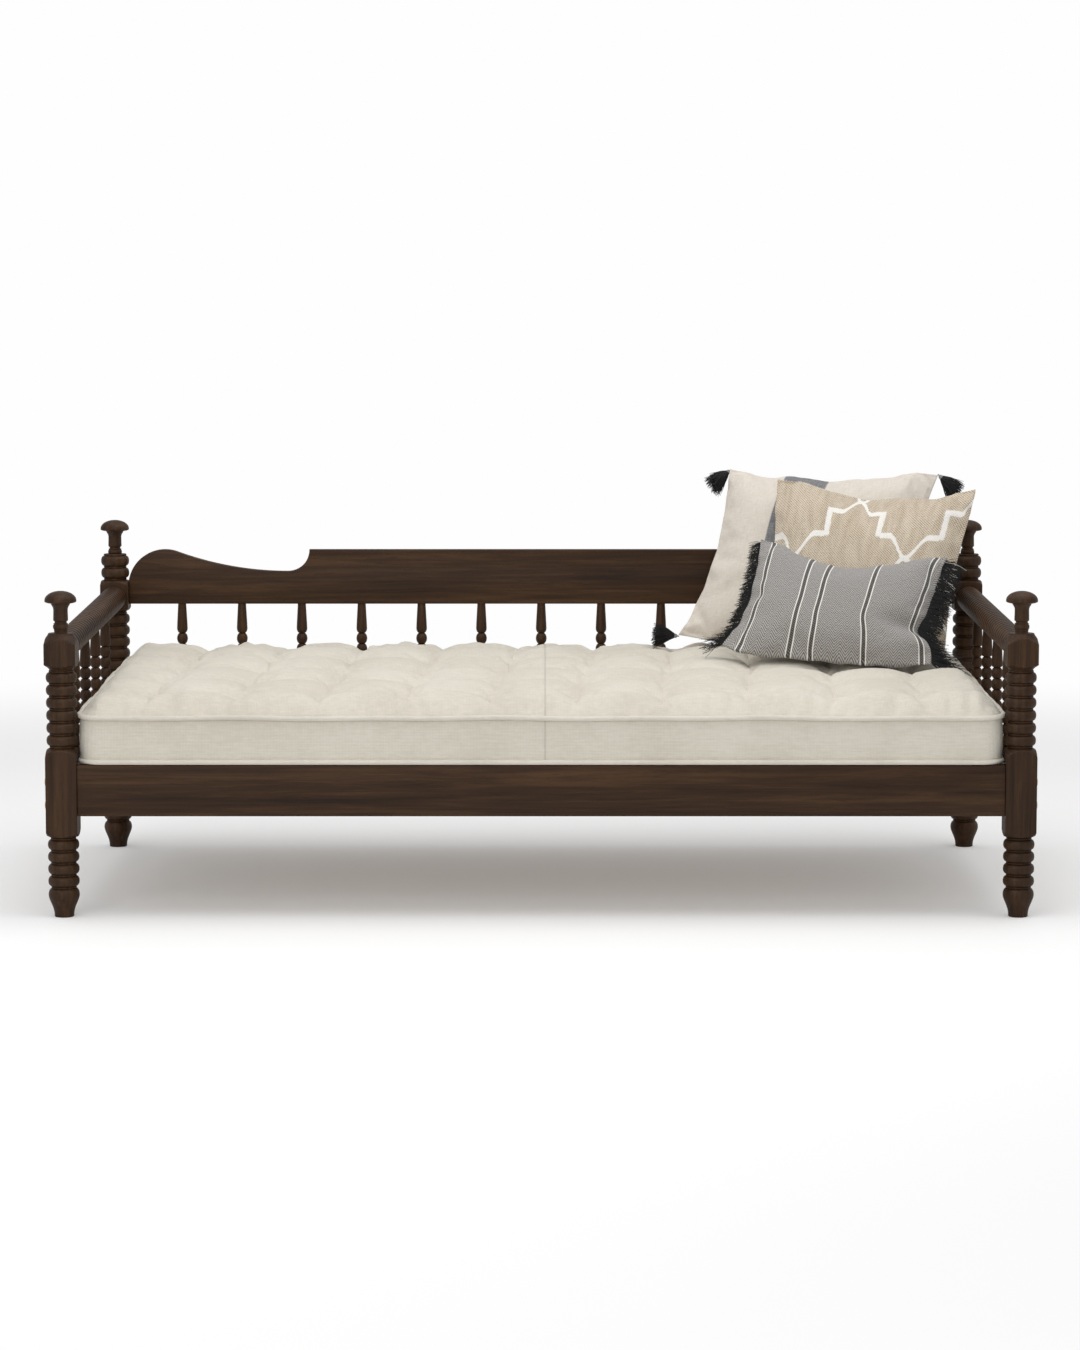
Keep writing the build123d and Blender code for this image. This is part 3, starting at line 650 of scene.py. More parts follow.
@dataclass
class TurnedFrame:
    """Everything off the lathe: posts, arms and both kinds of spindle."""

    half_x: float = 980.0
    half_y: float = 488.0
    inner_y: float = 456.0
    rail_top: float = 316.0
    board_bottom: float = 564.0
    arm_radius: float = 28.0
    arm_front: float = 552.0
    arm_back: float = 579.0
    arm_rings: int = 35
    arm_groove: float = 5.5
    arm_let_in: float = 4.0
    arm_spindles: int = 4
    spindle_let_in: float = 2.5
    back_spindles: int = 13
    back_pitch: float = 137.8

    def arm_height(self, y: float) -> float:
        """The height of an arm's axis at a distance from the middle of the bed."""
        share = (y + self.inner_y) / (2 * self.inner_y)
        return self.arm_front + share * (self.arm_back - self.arm_front)

    def build_arm(self, side: str, x: float) -> None:
        """One ringed arm, let a little way into both posts."""
        start = np.array([x, -self.inner_y, self.arm_front])
        end = np.array([x, self.inner_y, self.arm_back])
        length = float(np.linalg.norm(end - start))
        core = self.arm_radius - self.arm_groove
        outline = Turning(core, -self.arm_let_in).line(core, 0.0)
        for _ in range(self.arm_rings):
            outline.bead(self.arm_radius, length / self.arm_rings, 0.85, rows=6)
        rings = outline.line(core, length + self.arm_let_in).rings(round_angles(44))
        axis, across = unit(end - start), (1.0, 0.0, 0.0)
        Form().rings(rings, start, (np.cross(axis, across), across, axis)).piece(
            f"ringed_arm_{side}", WALNUT.material(Grain.DEEP), "frame", "walnut", f"arm_{side}")

    def build_arm_spindles(self, side: str, x: float) -> None:
        """The spindles under one arm."""
        form = Form()
        pitch = 2 * self.inner_y / (self.arm_spindles + 1)
        for index in range(self.arm_spindles):
            y = (index + 1) * pitch - self.inner_y
            top = self.arm_height(y) - self.arm_radius + self.spindle_let_in
            spindle = Spindle(self.rail_top, top, beads=6, pitch=23.9, neck_room=6.0)
            form.rings(spindle.rings(), (x, y, 0))
        form.piece(f"beaded_arm_spindles_{side}", WALNUT.material(Grain.UPRIGHT), "frame",
                   "walnut", f"arm_spindles_{side}")

    def build_back_spindles(self) -> None:
        """The row of spindles between the back rail and the board."""
        form = Form()
        rings = Spindle(self.rail_top, self.board_bottom, beads=7, pitch=24.4).rings()
        for index in range(self.back_spindles):
            x = (index - (self.back_spindles - 1) / 2) * self.back_pitch
            form.rings(rings, (x, self.half_y, 0))
        form.piece("beaded_back_spindles", WALNUT.material(Grain.UPRIGHT), "frame", "walnut",
                   "back_spindles")

    def build(self) -> None:
        """All of it."""
        for side, x in (("left", -self.half_x), ("right", self.half_x)):
            FRONT_POST.build(f"post_front_{side}", x, -self.half_y)
            BACK_POST.build(f"post_back_{side}", x, self.half_y)
            self.build_arm(side, x)
            self.build_arm_spindles(side, x)
        self.build_back_spindles()


# ---- Joinery -----------------------------------------------------------------------------
@dataclass
class Joinery:
    """The flat wooden pieces and the hardware, eased along their edges."""

    edge: float = 2.0
    half_inner: float = 948.0
    board_y: float = 488.0
    board_thickness: float = 22.0
    board_bottom: float = 564.0
    board_top: float = 689.0
    hump_radius: float = 84.0
    hump_inset: float = 83.0
    dip: float = 50.0
    cove_radius: float = 50.0
    step_inset: float = 415.5
    bolt_x: float = 1012.0
    bolt_heights: tuple[float, float] = (232.5, 280.5)
    front_bolt_y: float = -502.0
    back_bolt_y: float = 488.0

    def ease(self, work: bmesh.types.BMesh, edges: Sequence[bmesh.types.BMEdge]) -> None:
        """Rounds edges over."""
        bmesh.ops.bevel(work, geom=edges, offset=self.edge * MM, segments=3, profile=0.5,
                        affect="EDGES", clamp_overlap=True)

    def ease_box(self, mesh: Mesh, low: Array, high: Array) -> None:
        """Rounds the outer edges of a boxed mesh, and leaves its pockets and bores sharp."""
        def outer(vertex: bmesh.types.BMVert) -> int:
            place = np.array(vertex.co) / MM
            return int(((np.abs(place - low) < 0.05) | (np.abs(place - high) < 0.05)).sum())

        with edited(mesh) as work:
            bmesh.ops.remove_doubles(work, verts=work.verts, dist=1e-6)
            bmesh.ops.dissolve_limit(work, angle_limit=math.radians(1), verts=work.verts,
                                     edges=work.edges)
            self.ease(work, [edge for edge in work.edges if len(edge.link_faces) == 2
                             and all(outer(vertex) >= 2 for vertex in edge.verts)
                             and edge.calc_face_angle(0) > EDGE_ANGLE])

    def build_rail(self, name: str, grain: Grain) -> None:
        """A rail with eased edges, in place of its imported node."""
        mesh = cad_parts[name].data.copy()
        mesh.name = f"eased_{name}"
        self.ease_box(mesh, *node_box(name))
        skin(mesh, WALNUT.material(grain))
        hand_over(bpy.data.objects.new(mesh.name, mesh), "frame", "walnut", name)

    def board_outline(self) -> list[tuple[float, float]]:
        """The crest board's left half, from its bottom corner to the middle of its top."""
        dip_z = self.board_top - self.dip
        hump_x = self.hump_inset - self.half_inner
        cove_x = self.step_inset - self.half_inner - self.cove_radius
        run = cove_x - hump_x
        turn = 2 * math.atan(self.dip / run)
        dip_radius = run / math.sin(turn) - self.hump_radius
        start = -math.asin(self.hump_inset / self.hump_radius)
        points = [(-self.half_inner, self.board_bottom)]
        for centre_x, centre_z, across, up, angles in (
                (hump_x, self.board_top - self.hump_radius, self.hump_radius, self.hump_radius,
                 np.linspace(start, turn, 26)),
                (cove_x, dip_z + dip_radius, -dip_radius, -dip_radius,
                 np.linspace(turn, 0, 26)[1:]),
                (cove_x, dip_z + self.cove_radius, self.cove_radius, -self.cove_radius,
                 np.linspace(0, math.pi / 2, 13)[1:])):
            points += [(centre_x + across * math.sin(angle), centre_z + up * math.cos(angle))
                       for angle in angles]
        return points

    def build_board(self) -> None:
        """The crest board, both its ends alike, rounded along its outline."""
        left = self.board_outline()
        outline = left + [(-x, z) for x, z in reversed(left)]
        mesh = Form().rings(np.array([
            [(x, self.board_y + side * self.board_thickness / 2, z) for x, z in outline]
            for side in (-1, 1)])).mesh("crest_board")
        with edited(mesh) as work:
            bmesh.ops.recalc_face_normals(work, faces=work.faces)
            self.ease(work, [edge for edge in work.edges
                             if edge.calc_face_angle(0) > EDGE_ANGLE
                             and abs(edge.verts[0].co.y - edge.verts[1].co.y) < 1e-6])
        skin(mesh, WALNUT.material(Grain.LONG))
        hand_over(bpy.data.objects.new(mesh.name, mesh), "frame", "walnut", "back_board")

    def build_bolts(self) -> None:
        """Bed bolts with softly chamfered heads."""
        outline = Turning(4.0, -108.0).line(4.0, 0.0).line(8.0, 0.0)
        outline.line(8.0, 1.5).curve(6.2, 2.5, False, 1.0, rows=4).line(2.2, 2.5).line(1.6, 2.1)
        rings = outline.rings(round_angles(32))
        form = Form()
        for side in (-1, 1):
            for y in (self.front_bolt_y, self.back_bolt_y):
                for z in self.bolt_heights:
                    form.rings(rings, (side * self.bolt_x, y, z),
                               ((0, side, 0), (0, 0, 1), (side, 0, 0)))
        form.piece("bed_bolts_chamfered", COPPERED.material(), "frame", "bolt_metal",
                   "bed_bolts")

    def build(self) -> None:
        """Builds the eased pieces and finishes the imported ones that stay."""
        for name, grain in (("front_rail", Grain.LONG), ("back_rail", Grain.LONG),
                            ("side_rail_left", Grain.DEEP), ("side_rail_right", Grain.DEEP)):
            self.build_rail(name, grain)
        self.build_board()
        self.build_bolts()
        finishes = {"slat_": PINE.material(Grain.DEEP), "ledger_": PINE.material(Grain.LONG),
                    "board_dowels": PINE.material(Grain.LONG), "bolt_nuts": ZINCED.material()}
        for name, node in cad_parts.items():
            for start, finish in finishes.items():
                if name.startswith(start):
                    node.data.materials.clear()
                    node.data.materials.append(finish)


# ---- Soft finishes -----------------------------------------------------------------------
@dataclass(frozen=True)
class PlainCloth:
    """A woven cotton: crossed yarns, slubs, and faint broad shifts of tone."""

    name: str
    light: Colour
    shade: Colour
    pitch: float             # metres between yarns
    relief: float            # metres
    seam: float | None = None        # X of a seam right round the piece, in metres

    @cache
    def material(self) -> Material:
        """Its material, woven along the piece's own axes."""
        shader = Shader(self.name, Roughness=0.92, Sheen_Weight=0.12, Sheen_Roughness=0.5)
        place = shader.place()
        x, y, z = shader.axes(place)
        warp, weft = x.wave(self.pitch), (y + z).wave(self.pitch)
        weave = warp * weft + (warp + weft) * 0.5
        slub = shader.slub(place, (25, 260, 260))
        tone = (shader.noise(place, 6.0) * 0.4 + slub * 0.35
                + shader.noise(place, 90.0, 4.0, 0.65) * 0.25 + (weave - 0.75) * 0.12)
        colour = shader.mix(tone.ramp(0.36, 0.62), self.shade, self.light)
        height = weave * 0.6 + slub * 0.4
        if self.seam is not None:
            stitched = x.near(self.seam, 0.0006, 0.0022)
            colour = shader.mix(stitched * 0.25, colour, srgb(150, 142, 128))
            height = height - stitched * 2.0
        return shader.finish(colour, None, height, self.relief)


MATTRESS_TICKING = PlainCloth("mattress_cotton", light=srgb(222, 216, 203),
                              shade=srgb(208, 201, 187), pitch=0.0030, relief=0.0005,
                              seam=0.008)
PIPING_CLOTH = PlainCloth("piping_cotton", light=srgb(224, 218, 206), shade=srgb(209, 203, 190),
                          pitch=0.0022, relief=0.0003)


# ---- Mattress ----------------------------------------------------------------------------
@dataclass
class Mattress:
    """A boxed mattress with a tufted top. Millimetres, in the row frame."""

    half_length: float = 944.5
    front_y: float = -511.0
    back_y: float = 472.5
    bottom: float = 316.6
    corner: float = 45.0
    front_top: float = 413.5         # height of the front's upper seam
    back_top: float = 441.0
    front_crown: float = 454.3       # height of the pillows at the front
    back_crown: float = 480.3
    slope: float = 95.0              # how far in the top reaches its crown
    columns: int = 10
    rows: int = 5
    column_pitch: float = 176.0
    row_pitch: float = 187.0
    drift: float = 11.0              # each row of tufts to the right of the row in front
    first_tuft: tuple[float, float] = (-804.0, -371.25)
    hollow: float = 20.0             # creases under the crown
    crown_ease: float = 2.6          # how fast it gets there at first, as a power
    dome: float = 29.0               # pillows' tops over the creases
    dome_shape: tuple[float, float] = (0.6, 0.45)    # powers; lower is squarer
    pit: float = 22.0                # tufts under the creases
    pit_reach: float = 30.0
    fold: float = 6.4                # height of the folds that run out from a tuft
    fold_reach: float = 58.0
    fold_count: int = 7              # folds to a tuft
    gather: float = 5.0              # height of the gathers along the seam
    gather_reach: float = 62.0
    cell: float = 8.0
    piping: float = 5.2              # radius
    border_rows: int = 9
    border_swell: float = 0.0028     # how far the border bulges, as a share
    tuft_hold: float = 14.0          # the stuffing moves nothing this near a tuft
    seam_hold: float = 3.0           # or lower than this over the seam

    def between(self, y: Array, front: float, back: float) -> Array:
        """A height that goes evenly from the front edge to the back one."""
        return front + (back - front) * (y - self.front_y) / (self.back_y - self.front_y)

    def edge_height(self, y: Array) -> Array:
        """Height of the upper seam, which rises to the back."""
        return self.between(y, self.front_top, self.back_top)

    def nearest_tuft(self, x: Array, y: Array) -> tuple[Array, ...]:
        """Where a place lies on the grid of tufts.

        Args:
            x: places to the right.
            y: places to the back.

        Returns:
            Its column and row as counts, and its offsets from the nearest tuft.
        """
        row = (y - self.first_tuft[1]) / self.row_pitch
        column = (x - self.first_tuft[0] - row * self.drift) / self.column_pitch
        off_row = row - np.clip(np.round(row), 0, self.rows - 1)
        off_column = column - np.clip(np.round(column), 0, self.columns - 1)
        return (column, row, off_column * self.column_pitch + off_row * self.drift,
                off_row * self.row_pitch)

    def pillows(self, x: Array, y: Array) -> Array:
        """Height of the pillows, creases and tufts over the crown's level."""
        column, row, off_x, off_y = self.nearest_tuft(x, y)
        gap = np.hypot(off_x, off_y)
        across = np.abs(np.sin(math.pi * np.clip(column, -0.5, self.columns - 0.5)))
        along = np.abs(np.sin(math.pi * np.clip(row, -0.5, self.rows - 0.5)))
        spokes = np.sin(self.fold_count * np.arctan2(off_y, off_x) + 2.3 * np.round(column)
                        + 1.7 * np.round(row) + 1.2 * np.sin(gap / 23))
        folds = spokes * np.exp(-(gap / self.fold_reach) ** 2) * smoothstep(gap, 6, 24)
        soft = (np.sin(x / 61 + 1.3 * np.sin(y / 83)) * np.sin(y / 71 + 0.9) * 1.6
                + np.sin(x / 137 - y / 171) * 2.0
                + np.sin(x / 19 + 2 * np.sin(y / 37)) * np.sin(y / 27 + np.sin(x / 41)) * 0.9)
        domes = across ** self.dome_shape[0] * along ** self.dome_shape[1] * self.dome
        pits = self.pit * np.exp(-(gap / self.pit_reach) ** 1.4)
        return domes - self.hollow - pits + self.fold * folds + soft

    def top_height(self, x: Array, y: Array) -> Array:
        """Height of the tufted top."""
        side = self.half_length - np.abs(x)
        end = np.minimum(y - self.front_y, self.back_y - y)
        rounded = self.corner - np.hypot(np.maximum(self.corner - side, 0),
                                         np.maximum(self.corner - end, 0))
        inward = np.minimum(np.minimum(side, end), rounded).clip(0)
        rise = 1 - (1 - np.clip(inward / self.slope, 0, 1)) ** self.crown_ease
        seam = self.edge_height(y)
        crown = self.between(y, self.front_crown, self.back_crown)
        return (seam + rise * (crown - seam) + smoothstep(inward, 4, 80) * self.pillows(x, y)
                + self.gathers(x, y - self.front_y) + self.gathers(x + 400, self.back_y - y)
                + self.gathers(y, side))

    def gathers(self, along: Array, inward: Array) -> Array:
        """Soft gathers that run in from the seam."""
        waves = (np.sin(along / 7.4 + 2.3 * np.sin(along / 47)) * (0.6 + 0.4 * np.sin(along / 61))
                 + 0.7 * np.sin(along / 17 + 1.9 * np.sin(along / 39)))
        return (self.gather * waves * np.exp(-inward / self.gather_reach)
                * smoothstep(inward, 2, 22))

    def plan(self, across: int, deep: int) -> tuple[Array, Array]:
        """A grid over the rounded oblong, its edge points on the outline."""
        u, v = np.meshgrid(np.linspace(-1, 1, across), np.linspace(-1, 1, deep), indexing="ij")
        half_y = (self.back_y - self.front_y) / 2
        x, y = u * self.half_length, v * half_y
        core_x, core_y = self.half_length - self.corner, half_y - self.corner
        over_x, over_y = np.abs(x) - core_x, np.abs(y) - core_y
        corner = (over_x > 0) & (over_y > 0)
        reach = np.maximum(over_x, over_y)
        length = np.maximum(np.hypot(over_x, over_y), 1e-9)
        x = np.where(corner, np.sign(x) * (core_x + over_x / length * reach), x)
        y = np.where(corner, np.sign(y) * (core_y + over_y / length * reach), y)
        return x, y + (self.front_y + self.back_y) / 2

    def outline(self, across: int, deep: int) -> Array:
        """The edge points of the plan in order, anticlockwise from the front left."""
        grid = np.stack(self.plan(across, deep), axis=-1)
        return np.concatenate([grid[:-1, 0], grid[-1, :-1], grid[:0:-1, -1], grid[0, :0:-1]])

    def build_tube(self, name: str, edge: Array, height: Array) -> None:
        """A closed roll of piping along the edge, at its heights."""
        path = np.column_stack([edge, height])
        ahead = unit(np.roll(path, -1, axis=0) - np.roll(path, 1, axis=0))
        side = unit(np.cross(ahead, np.array([0, 0, 1.0])))
        rings = tube(path + side * self.piping * 0.5, side, np.cross(side, ahead), self.piping,
                     12)
        Form().rings(rings, capped=False, looped=True).piece(
            name, PIPING_CLOTH.material(), "mattress", "mattress_cloth")

    def build(self) -> None:
        """The stuffed body and its two rolls of piping."""
        across = int(2 * self.half_length / self.cell) + 1
        deep = int((self.back_y - self.front_y) / self.cell) + 1
        x, y = self.plan(across, deep)
        form = Form()
        form.add(np.stack([x, y, self.top_height(x, y)], axis=-1),
                 quads(np.arange(across * deep).reshape(across, deep), flipped=True))
        edge = self.outline(across, deep)
        seam_z = self.edge_height(edge[:, 1])
        centre = np.array([0.0, (self.front_y + self.back_y) / 2])
        layers = []
        for share in np.linspace(0, 1, self.border_rows):
            out = (edge - centre) * (1 + self.border_swell * math.sin(share * math.pi)) + centre
            ripple = 0.8 * np.sin(edge[:, 0] / 83 + edge[:, 1] / 61 + 3 * share)
            layers.append(np.column_stack([out[:, 0], out[:, 1] + ripple * (share * (1 - share)),
                                           self.bottom + (seam_z - self.bottom) * share]))
        form.rings(np.array(layers), capped=False)
        base = np.column_stack([edge, np.full(len(edge), self.bottom)])
        form.add(base, [range(len(base) - 1, -1, -1)])
        mattress = form.piece("tufted_mattress", MATTRESS_TICKING.material(), "mattress",
                              "mattress_cloth", "mattress")
        with edited(mattress.data) as work:
            bmesh.ops.remove_doubles(work, verts=work.verts, dist=0.2 * MM)
        self.stuff(mattress)
        beside = smoothstep(np.abs(edge[:, 0]), self.half_length - 30, self.half_length - 5)
        wobble = (np.sin(edge[:, 0] / 58) * np.sin(edge[:, 0] / 173 + edge[:, 1] / 67) * 1.6
                  + beside * (np.abs(np.sin(edge[:, 1] / 34)) + np.sin(edge[:, 1] / 71)) * 1.8)
        self.build_tube("top_piping", edge, seam_z + wobble - 1)
        self.build_tube("bottom_piping", edge,
                        np.full(len(edge), self.bottom + self.piping + 0.2))

    def stuff(self, mattress: Piece) -> None:
        """Blows the top up between its tufts, which stay with the border where they are."""
        points = vertices(mattress) / MM
        _, _, off_x, off_y = self.nearest_tuft(points[:, 0], points[:, 1])
        held = ((np.hypot(off_x, off_y) < self.tuft_hold)
                | (points[:, 2] < self.edge_height(points[:, 1]) + self.seam_hold))
        inflate(mattress, pressure=4.0, cap=9.0, spare=0.03, pinned=held, frames=6, quality=3)


# ---- Cushion finishes --------------------------------------------------------------------
def woven(name: str, **constants: float) -> tuple[Shader, Value, list[Value]]:
    """A cloth's shader, each point's place in the flat cloth, and the place's three numbers."""
    shader = Shader(name, Sheen_Roughness=0.5, **constants)
    cloth = shader.stored("cloth")
    return shader, cloth, shader.axes(cloth)


@dataclass(frozen=True)
class BandedLinen:
    """Cream linen with one wide charcoal band. Places are shares of half the width."""

    light: Colour = srgb(222, 215, 204)
    shade: Colour = srgb(205, 196, 184)
    band: Colour = srgb(104, 104, 108)
    band_fleck: Colour = srgb(150, 150, 152)
    band_from: float = -0.46
    band_to: float = -0.05
    band_waver: float = 0.02
    band_blur: float = 0.016
    pitch: float = 0.0030

    def material(self) -> Material:
        """Its material, woven along the cloth."""
        shader, cloth, (u, v, share) = woven("banded_linen", Roughness=0.93, Sheen_Weight=0.15)
        slub = shader.slub(cloth, (900, 45, 0))
        fleck = slub * 0.5 + shader.slub(cloth, (45, 900, 0)) * 0.5
        cream = shader.mix(fleck.ramp(0.36, 0.64), self.shade, self.light)
        charcoal = shader.mix(fleck.ramp(0.44, 0.62), self.band, self.band_fleck)
        middle, half = (self.band_from + self.band_to) / 2, (self.band_to - self.band_from) / 2
        inside = (share + (slub - 0.5) * self.band_waver).near(
            middle, half - self.band_blur / 2, self.band_blur)
        return shader.finish(shader.mix(inside, cream, charcoal), None,
                             u.wave(self.pitch) * v.wave(self.pitch) * 0.5 + fleck * 0.6, 0.0005)


@dataclass(frozen=True)
class LatticeJute:
    """Coarse natural jute with a hand-drawn white lattice of stepped lines."""

    light: Colour = srgb(218, 206, 188)
    dark: Colour = srgb(142, 122, 94)
    line: Colour = srgb(240, 238, 234)
    pitch: float = 0.0062
    column: float = 0.26             # lattice repeat across, in metres
    row: float = 0.356               # and up
    start: tuple[float, float] = (0.027, -0.192)
    width: float = 0.032             # a line's half width, as a share of half a repeat
    blur: float = 0.02               # of its edges, as the same share
    shake: float = 0.006             # metres

    def material(self) -> Material:
        """Its material, woven and painted along the cloth."""
        shader, cloth, (u, v, _) = woven("lattice_jute", Roughness=0.95, Sheen_Weight=0.1)
        weave = (u + v).wave(self.pitch) * 0.5 + (u - v).wave(self.pitch * 0.97) * 0.5
        fleck = shader.slub(cloth, (430, 260, 0), 0.7)
        tone = weave * 0.45 + fleck * 0.5 + shader.noise(cloth, 16.0) * 0.25
        jute = shader.mix(tone.ramp(0.36, 0.78), self.dark, self.light)
        shake = (shader.noise(cloth, 85.0, 2.0) - 0.5) * self.shake
        across = (u + self.start[0] + shake).wave(self.column)
        up = (v + self.start[1] + shake).wave(self.row)
        # A line goes up in three slopes, with a level step between each two.
        level = (across.ramp(0.0, 0.26) * 0.3 + across.ramp(0.42, 0.5) * 0.38
                 + across.ramp(0.66, 1.0) * 0.32)
        post = across.near(0.46, self.width * 1.2, self.blur)
        risers = post * up.ramp(0.24, 0.28) * (1.0 - up.ramp(0.68, 0.72))
        line = up.near(level, self.width, self.blur).most(risers)
        white = line * (fleck * 0.5 + 0.62).least(1.0)
        return shader.finish(shader.mix(white, jute, self.line), None,
                             weave * 0.7 + fleck * 0.5 + white * 0.2, 0.0011)


@dataclass(frozen=True)
class StripedWool:
    """Grey herringbone with narrow woven stripes. Places are shares of half the width."""

    light: Colour = srgb(182, 178, 174)
    dark: Colour = srgb(84, 81, 79)
    white: Colour = srgb(236, 233, 226)
    black: Colour = srgb(38, 35, 34)
    stripes: tuple[float, ...] = (-0.84, -0.37, -0.165, 0.34, 0.90)
    half_width: float = 0.029
    core: float = 0.62               # how much of a stripe's width is its dark core
    dashed: float = 0.72             # how much of the core's width has dashes
    blur: float = 0.003              # of a stripe's edges
    dash_blur: float = 0.004
    dash_pitch: float = 0.0042       # metres, as are the next two
    rib: float = 0.0052
    zigzag: float = 0.026

    def material(self) -> Material:
        """Its material, woven along the cloth."""
        shader, cloth, (u, v, share) = woven("striped_wool", Roughness=0.93, Sheen_Weight=0.15)
        slant = (v + u.wave(self.zigzag) * (self.zigzag / 2)).wave(self.rib)
        fleck = shader.slub(cloth, (700, 180, 0))
        wool = shader.mix((slant * 0.5 + fleck * 0.7).ramp(0.3, 0.85), self.dark, self.light)
        nearest = (share - self.stripes[0]).size()
        for stripe in self.stripes[1:]:
            nearest = nearest.least((share - stripe).size())
        edge, core = self.half_width, self.half_width * self.core
        dashed = core * self.dashed
        outside = nearest.ramp(core, core + self.blur)
        rails = outside * (1.0 - nearest.ramp(edge, edge + self.blur))
        dashes = (1.0 - nearest.ramp(dashed, dashed + self.dash_blur)) * (
            v + u * 0.6).wave(self.dash_pitch).ramp(0.25, 0.5)
        colour = shader.mix((1.0 - outside) * 0.45, wool, self.black)
        colour = shader.mix(dashes * 0.85, colour, self.black)
        return shader.finish(shader.mix(rails, colour, self.white), None,
                             slant * 0.5 + fleck * 0.4 + rails * 0.5, 0.0008)


@dataclass(frozen=True)
class Yarn:
    """Loose yarn, lighter on its worn strands."""

    name: str
    dark: Colour
    light: Colour

    @cache
    def material(self) -> Material:
        """Its material."""
        shader = Shader(self.name, Roughness=0.8, Sheen_Weight=0.1, Sheen_Roughness=0.4)
        place = shader.place()
        fibre = shader.noise(place, 700.0, 2.0)
        tone = shader.noise(place, 60.0, 2.0) * 0.6 + fibre * 0.4
        return shader.finish(shader.mix(tone.ramp(0.4, 0.7), self.dark, self.light), None,
                             fibre, 0.0003)


BLACK_YARN = Yarn("black_yarn", dark=srgb(6, 5, 6), light=srgb(24, 22, 23))
WHITE_YARN = Yarn("white_yarn", dark=srgb(205, 201, 194), light=srgb(235, 232, 226))
CAP_YARN = Yarn("cap_yarn", dark=srgb(112, 112, 114), light=srgb(160, 160, 162))


# ---- Cushions ----------------------------------------------------------------------------
def inflate(piece: Piece, pressure: float, cap: float, spare: float,
            pinned: Array, frames: int = 12, quality: int = 4) -> None:
    """Blows a closed cloth form up a little, and keeps the result.

    Args:
        piece: the closed mesh.
        pressure: the cloth's inner pressure.
        cap: how far a point may move, in millimetres.
        spare: how much larger the cloth is than the form, as a share.
        pinned: which points stay where they are.
        frames: how many frames it runs.
        quality: how many steps each frame takes.
    """
    start = vertices(piece)
    modifier = piece.modifiers.new("inflate", "CLOTH")
    group = piece.vertex_groups.new(name="pinned")
    group.add(np.flatnonzero(pinned).tolist(), 1.0, "REPLACE")
    for setting, value in {
            "quality": quality, "mass": 0.25, "tension_stiffness": 18,
            "compression_stiffness": 18, "shear_stiffness": 6, "bending_stiffness": 0.4,
            "use_pressure": True, "uniform_pressure_force": pressure, "shrink_min": -spare,
            "vertex_group_mass": group.name}.items():
        setattr(modifier.settings, setting, value)
    modifier.settings.effector_weights.gravity = 0
    modifier.collision_settings.use_collision = False
    modifier.point_cache.frame_end = frames
    for step in range(1, frames + 1):
        bpy.context.scene.frame_set(step)
    moved = vertices(piece.evaluated_get(bpy.context.evaluated_depsgraph_get())) - start
    length = np.maximum(np.linalg.norm(moved, axis=1), 1e-9)
    limit = cap * MM
    piece.modifiers.remove(modifier)
    bpy.context.scene.frame_set(1)
    move_vertices(piece, start + moved * (limit * np.tanh(length / limit) / length)[:, None])
    LOG.info("%s: cloth moved %.1f mm at most", piece.name, length.max() / MM)


Knots = Sequence[tuple[float, float]]


def smooth_line(knots: Knots, at: Array, samples: int = 481, eased_over: int = 33) -> Array:
    """Reads an eased line through knots.

    Args:
        knots: each one's place and height.
        at: the places to read.
        samples: how finely the line is laid out.
        eased_over: how many neighbours each sample is averaged over; odd.

    Returns:
        The heights.
    """
    places, heights = zip(*knots)
    dense = np.linspace(-1.2, 1.2, samples)
    window = np.hanning(eased_over)
    line = np.pad(np.interp(dense, places, heights), eased_over // 2, mode="edge")
    return np.interp(at, dense, np.convolve(line, window / window.sum(), mode="valid"))


@dataclass(frozen=True)
class Fold:
    """A soft ridge or valley across a cushion's face, in shares of its half sizes."""

    start: tuple[float, float]
    end: tuple[float, float]
    depth: float                 # millimetres; below 0 for a valley
    width: float                 # share

    def height(self, s: Array, t: Array) -> Array:
        """Its height over the face."""
        way = np.subtract(self.end, self.start)
        reach = float(way @ way)
        along = np.clip(((s - self.start[0]) * way[0] + (t - self.start[1]) * way[1]) / reach,
                        0, 1)
        gap = np.hypot(s - self.start[0] - along * way[0], t - self.start[1] - along * way[1])
        taper = 1 - smoothstep(along, 0.25, 1.0)
        return self.depth * np.exp(-(gap / self.width) ** 2) * taper


SEAM_TURN = 1.35             # radians; how much closer a cushion's rows come to its seam


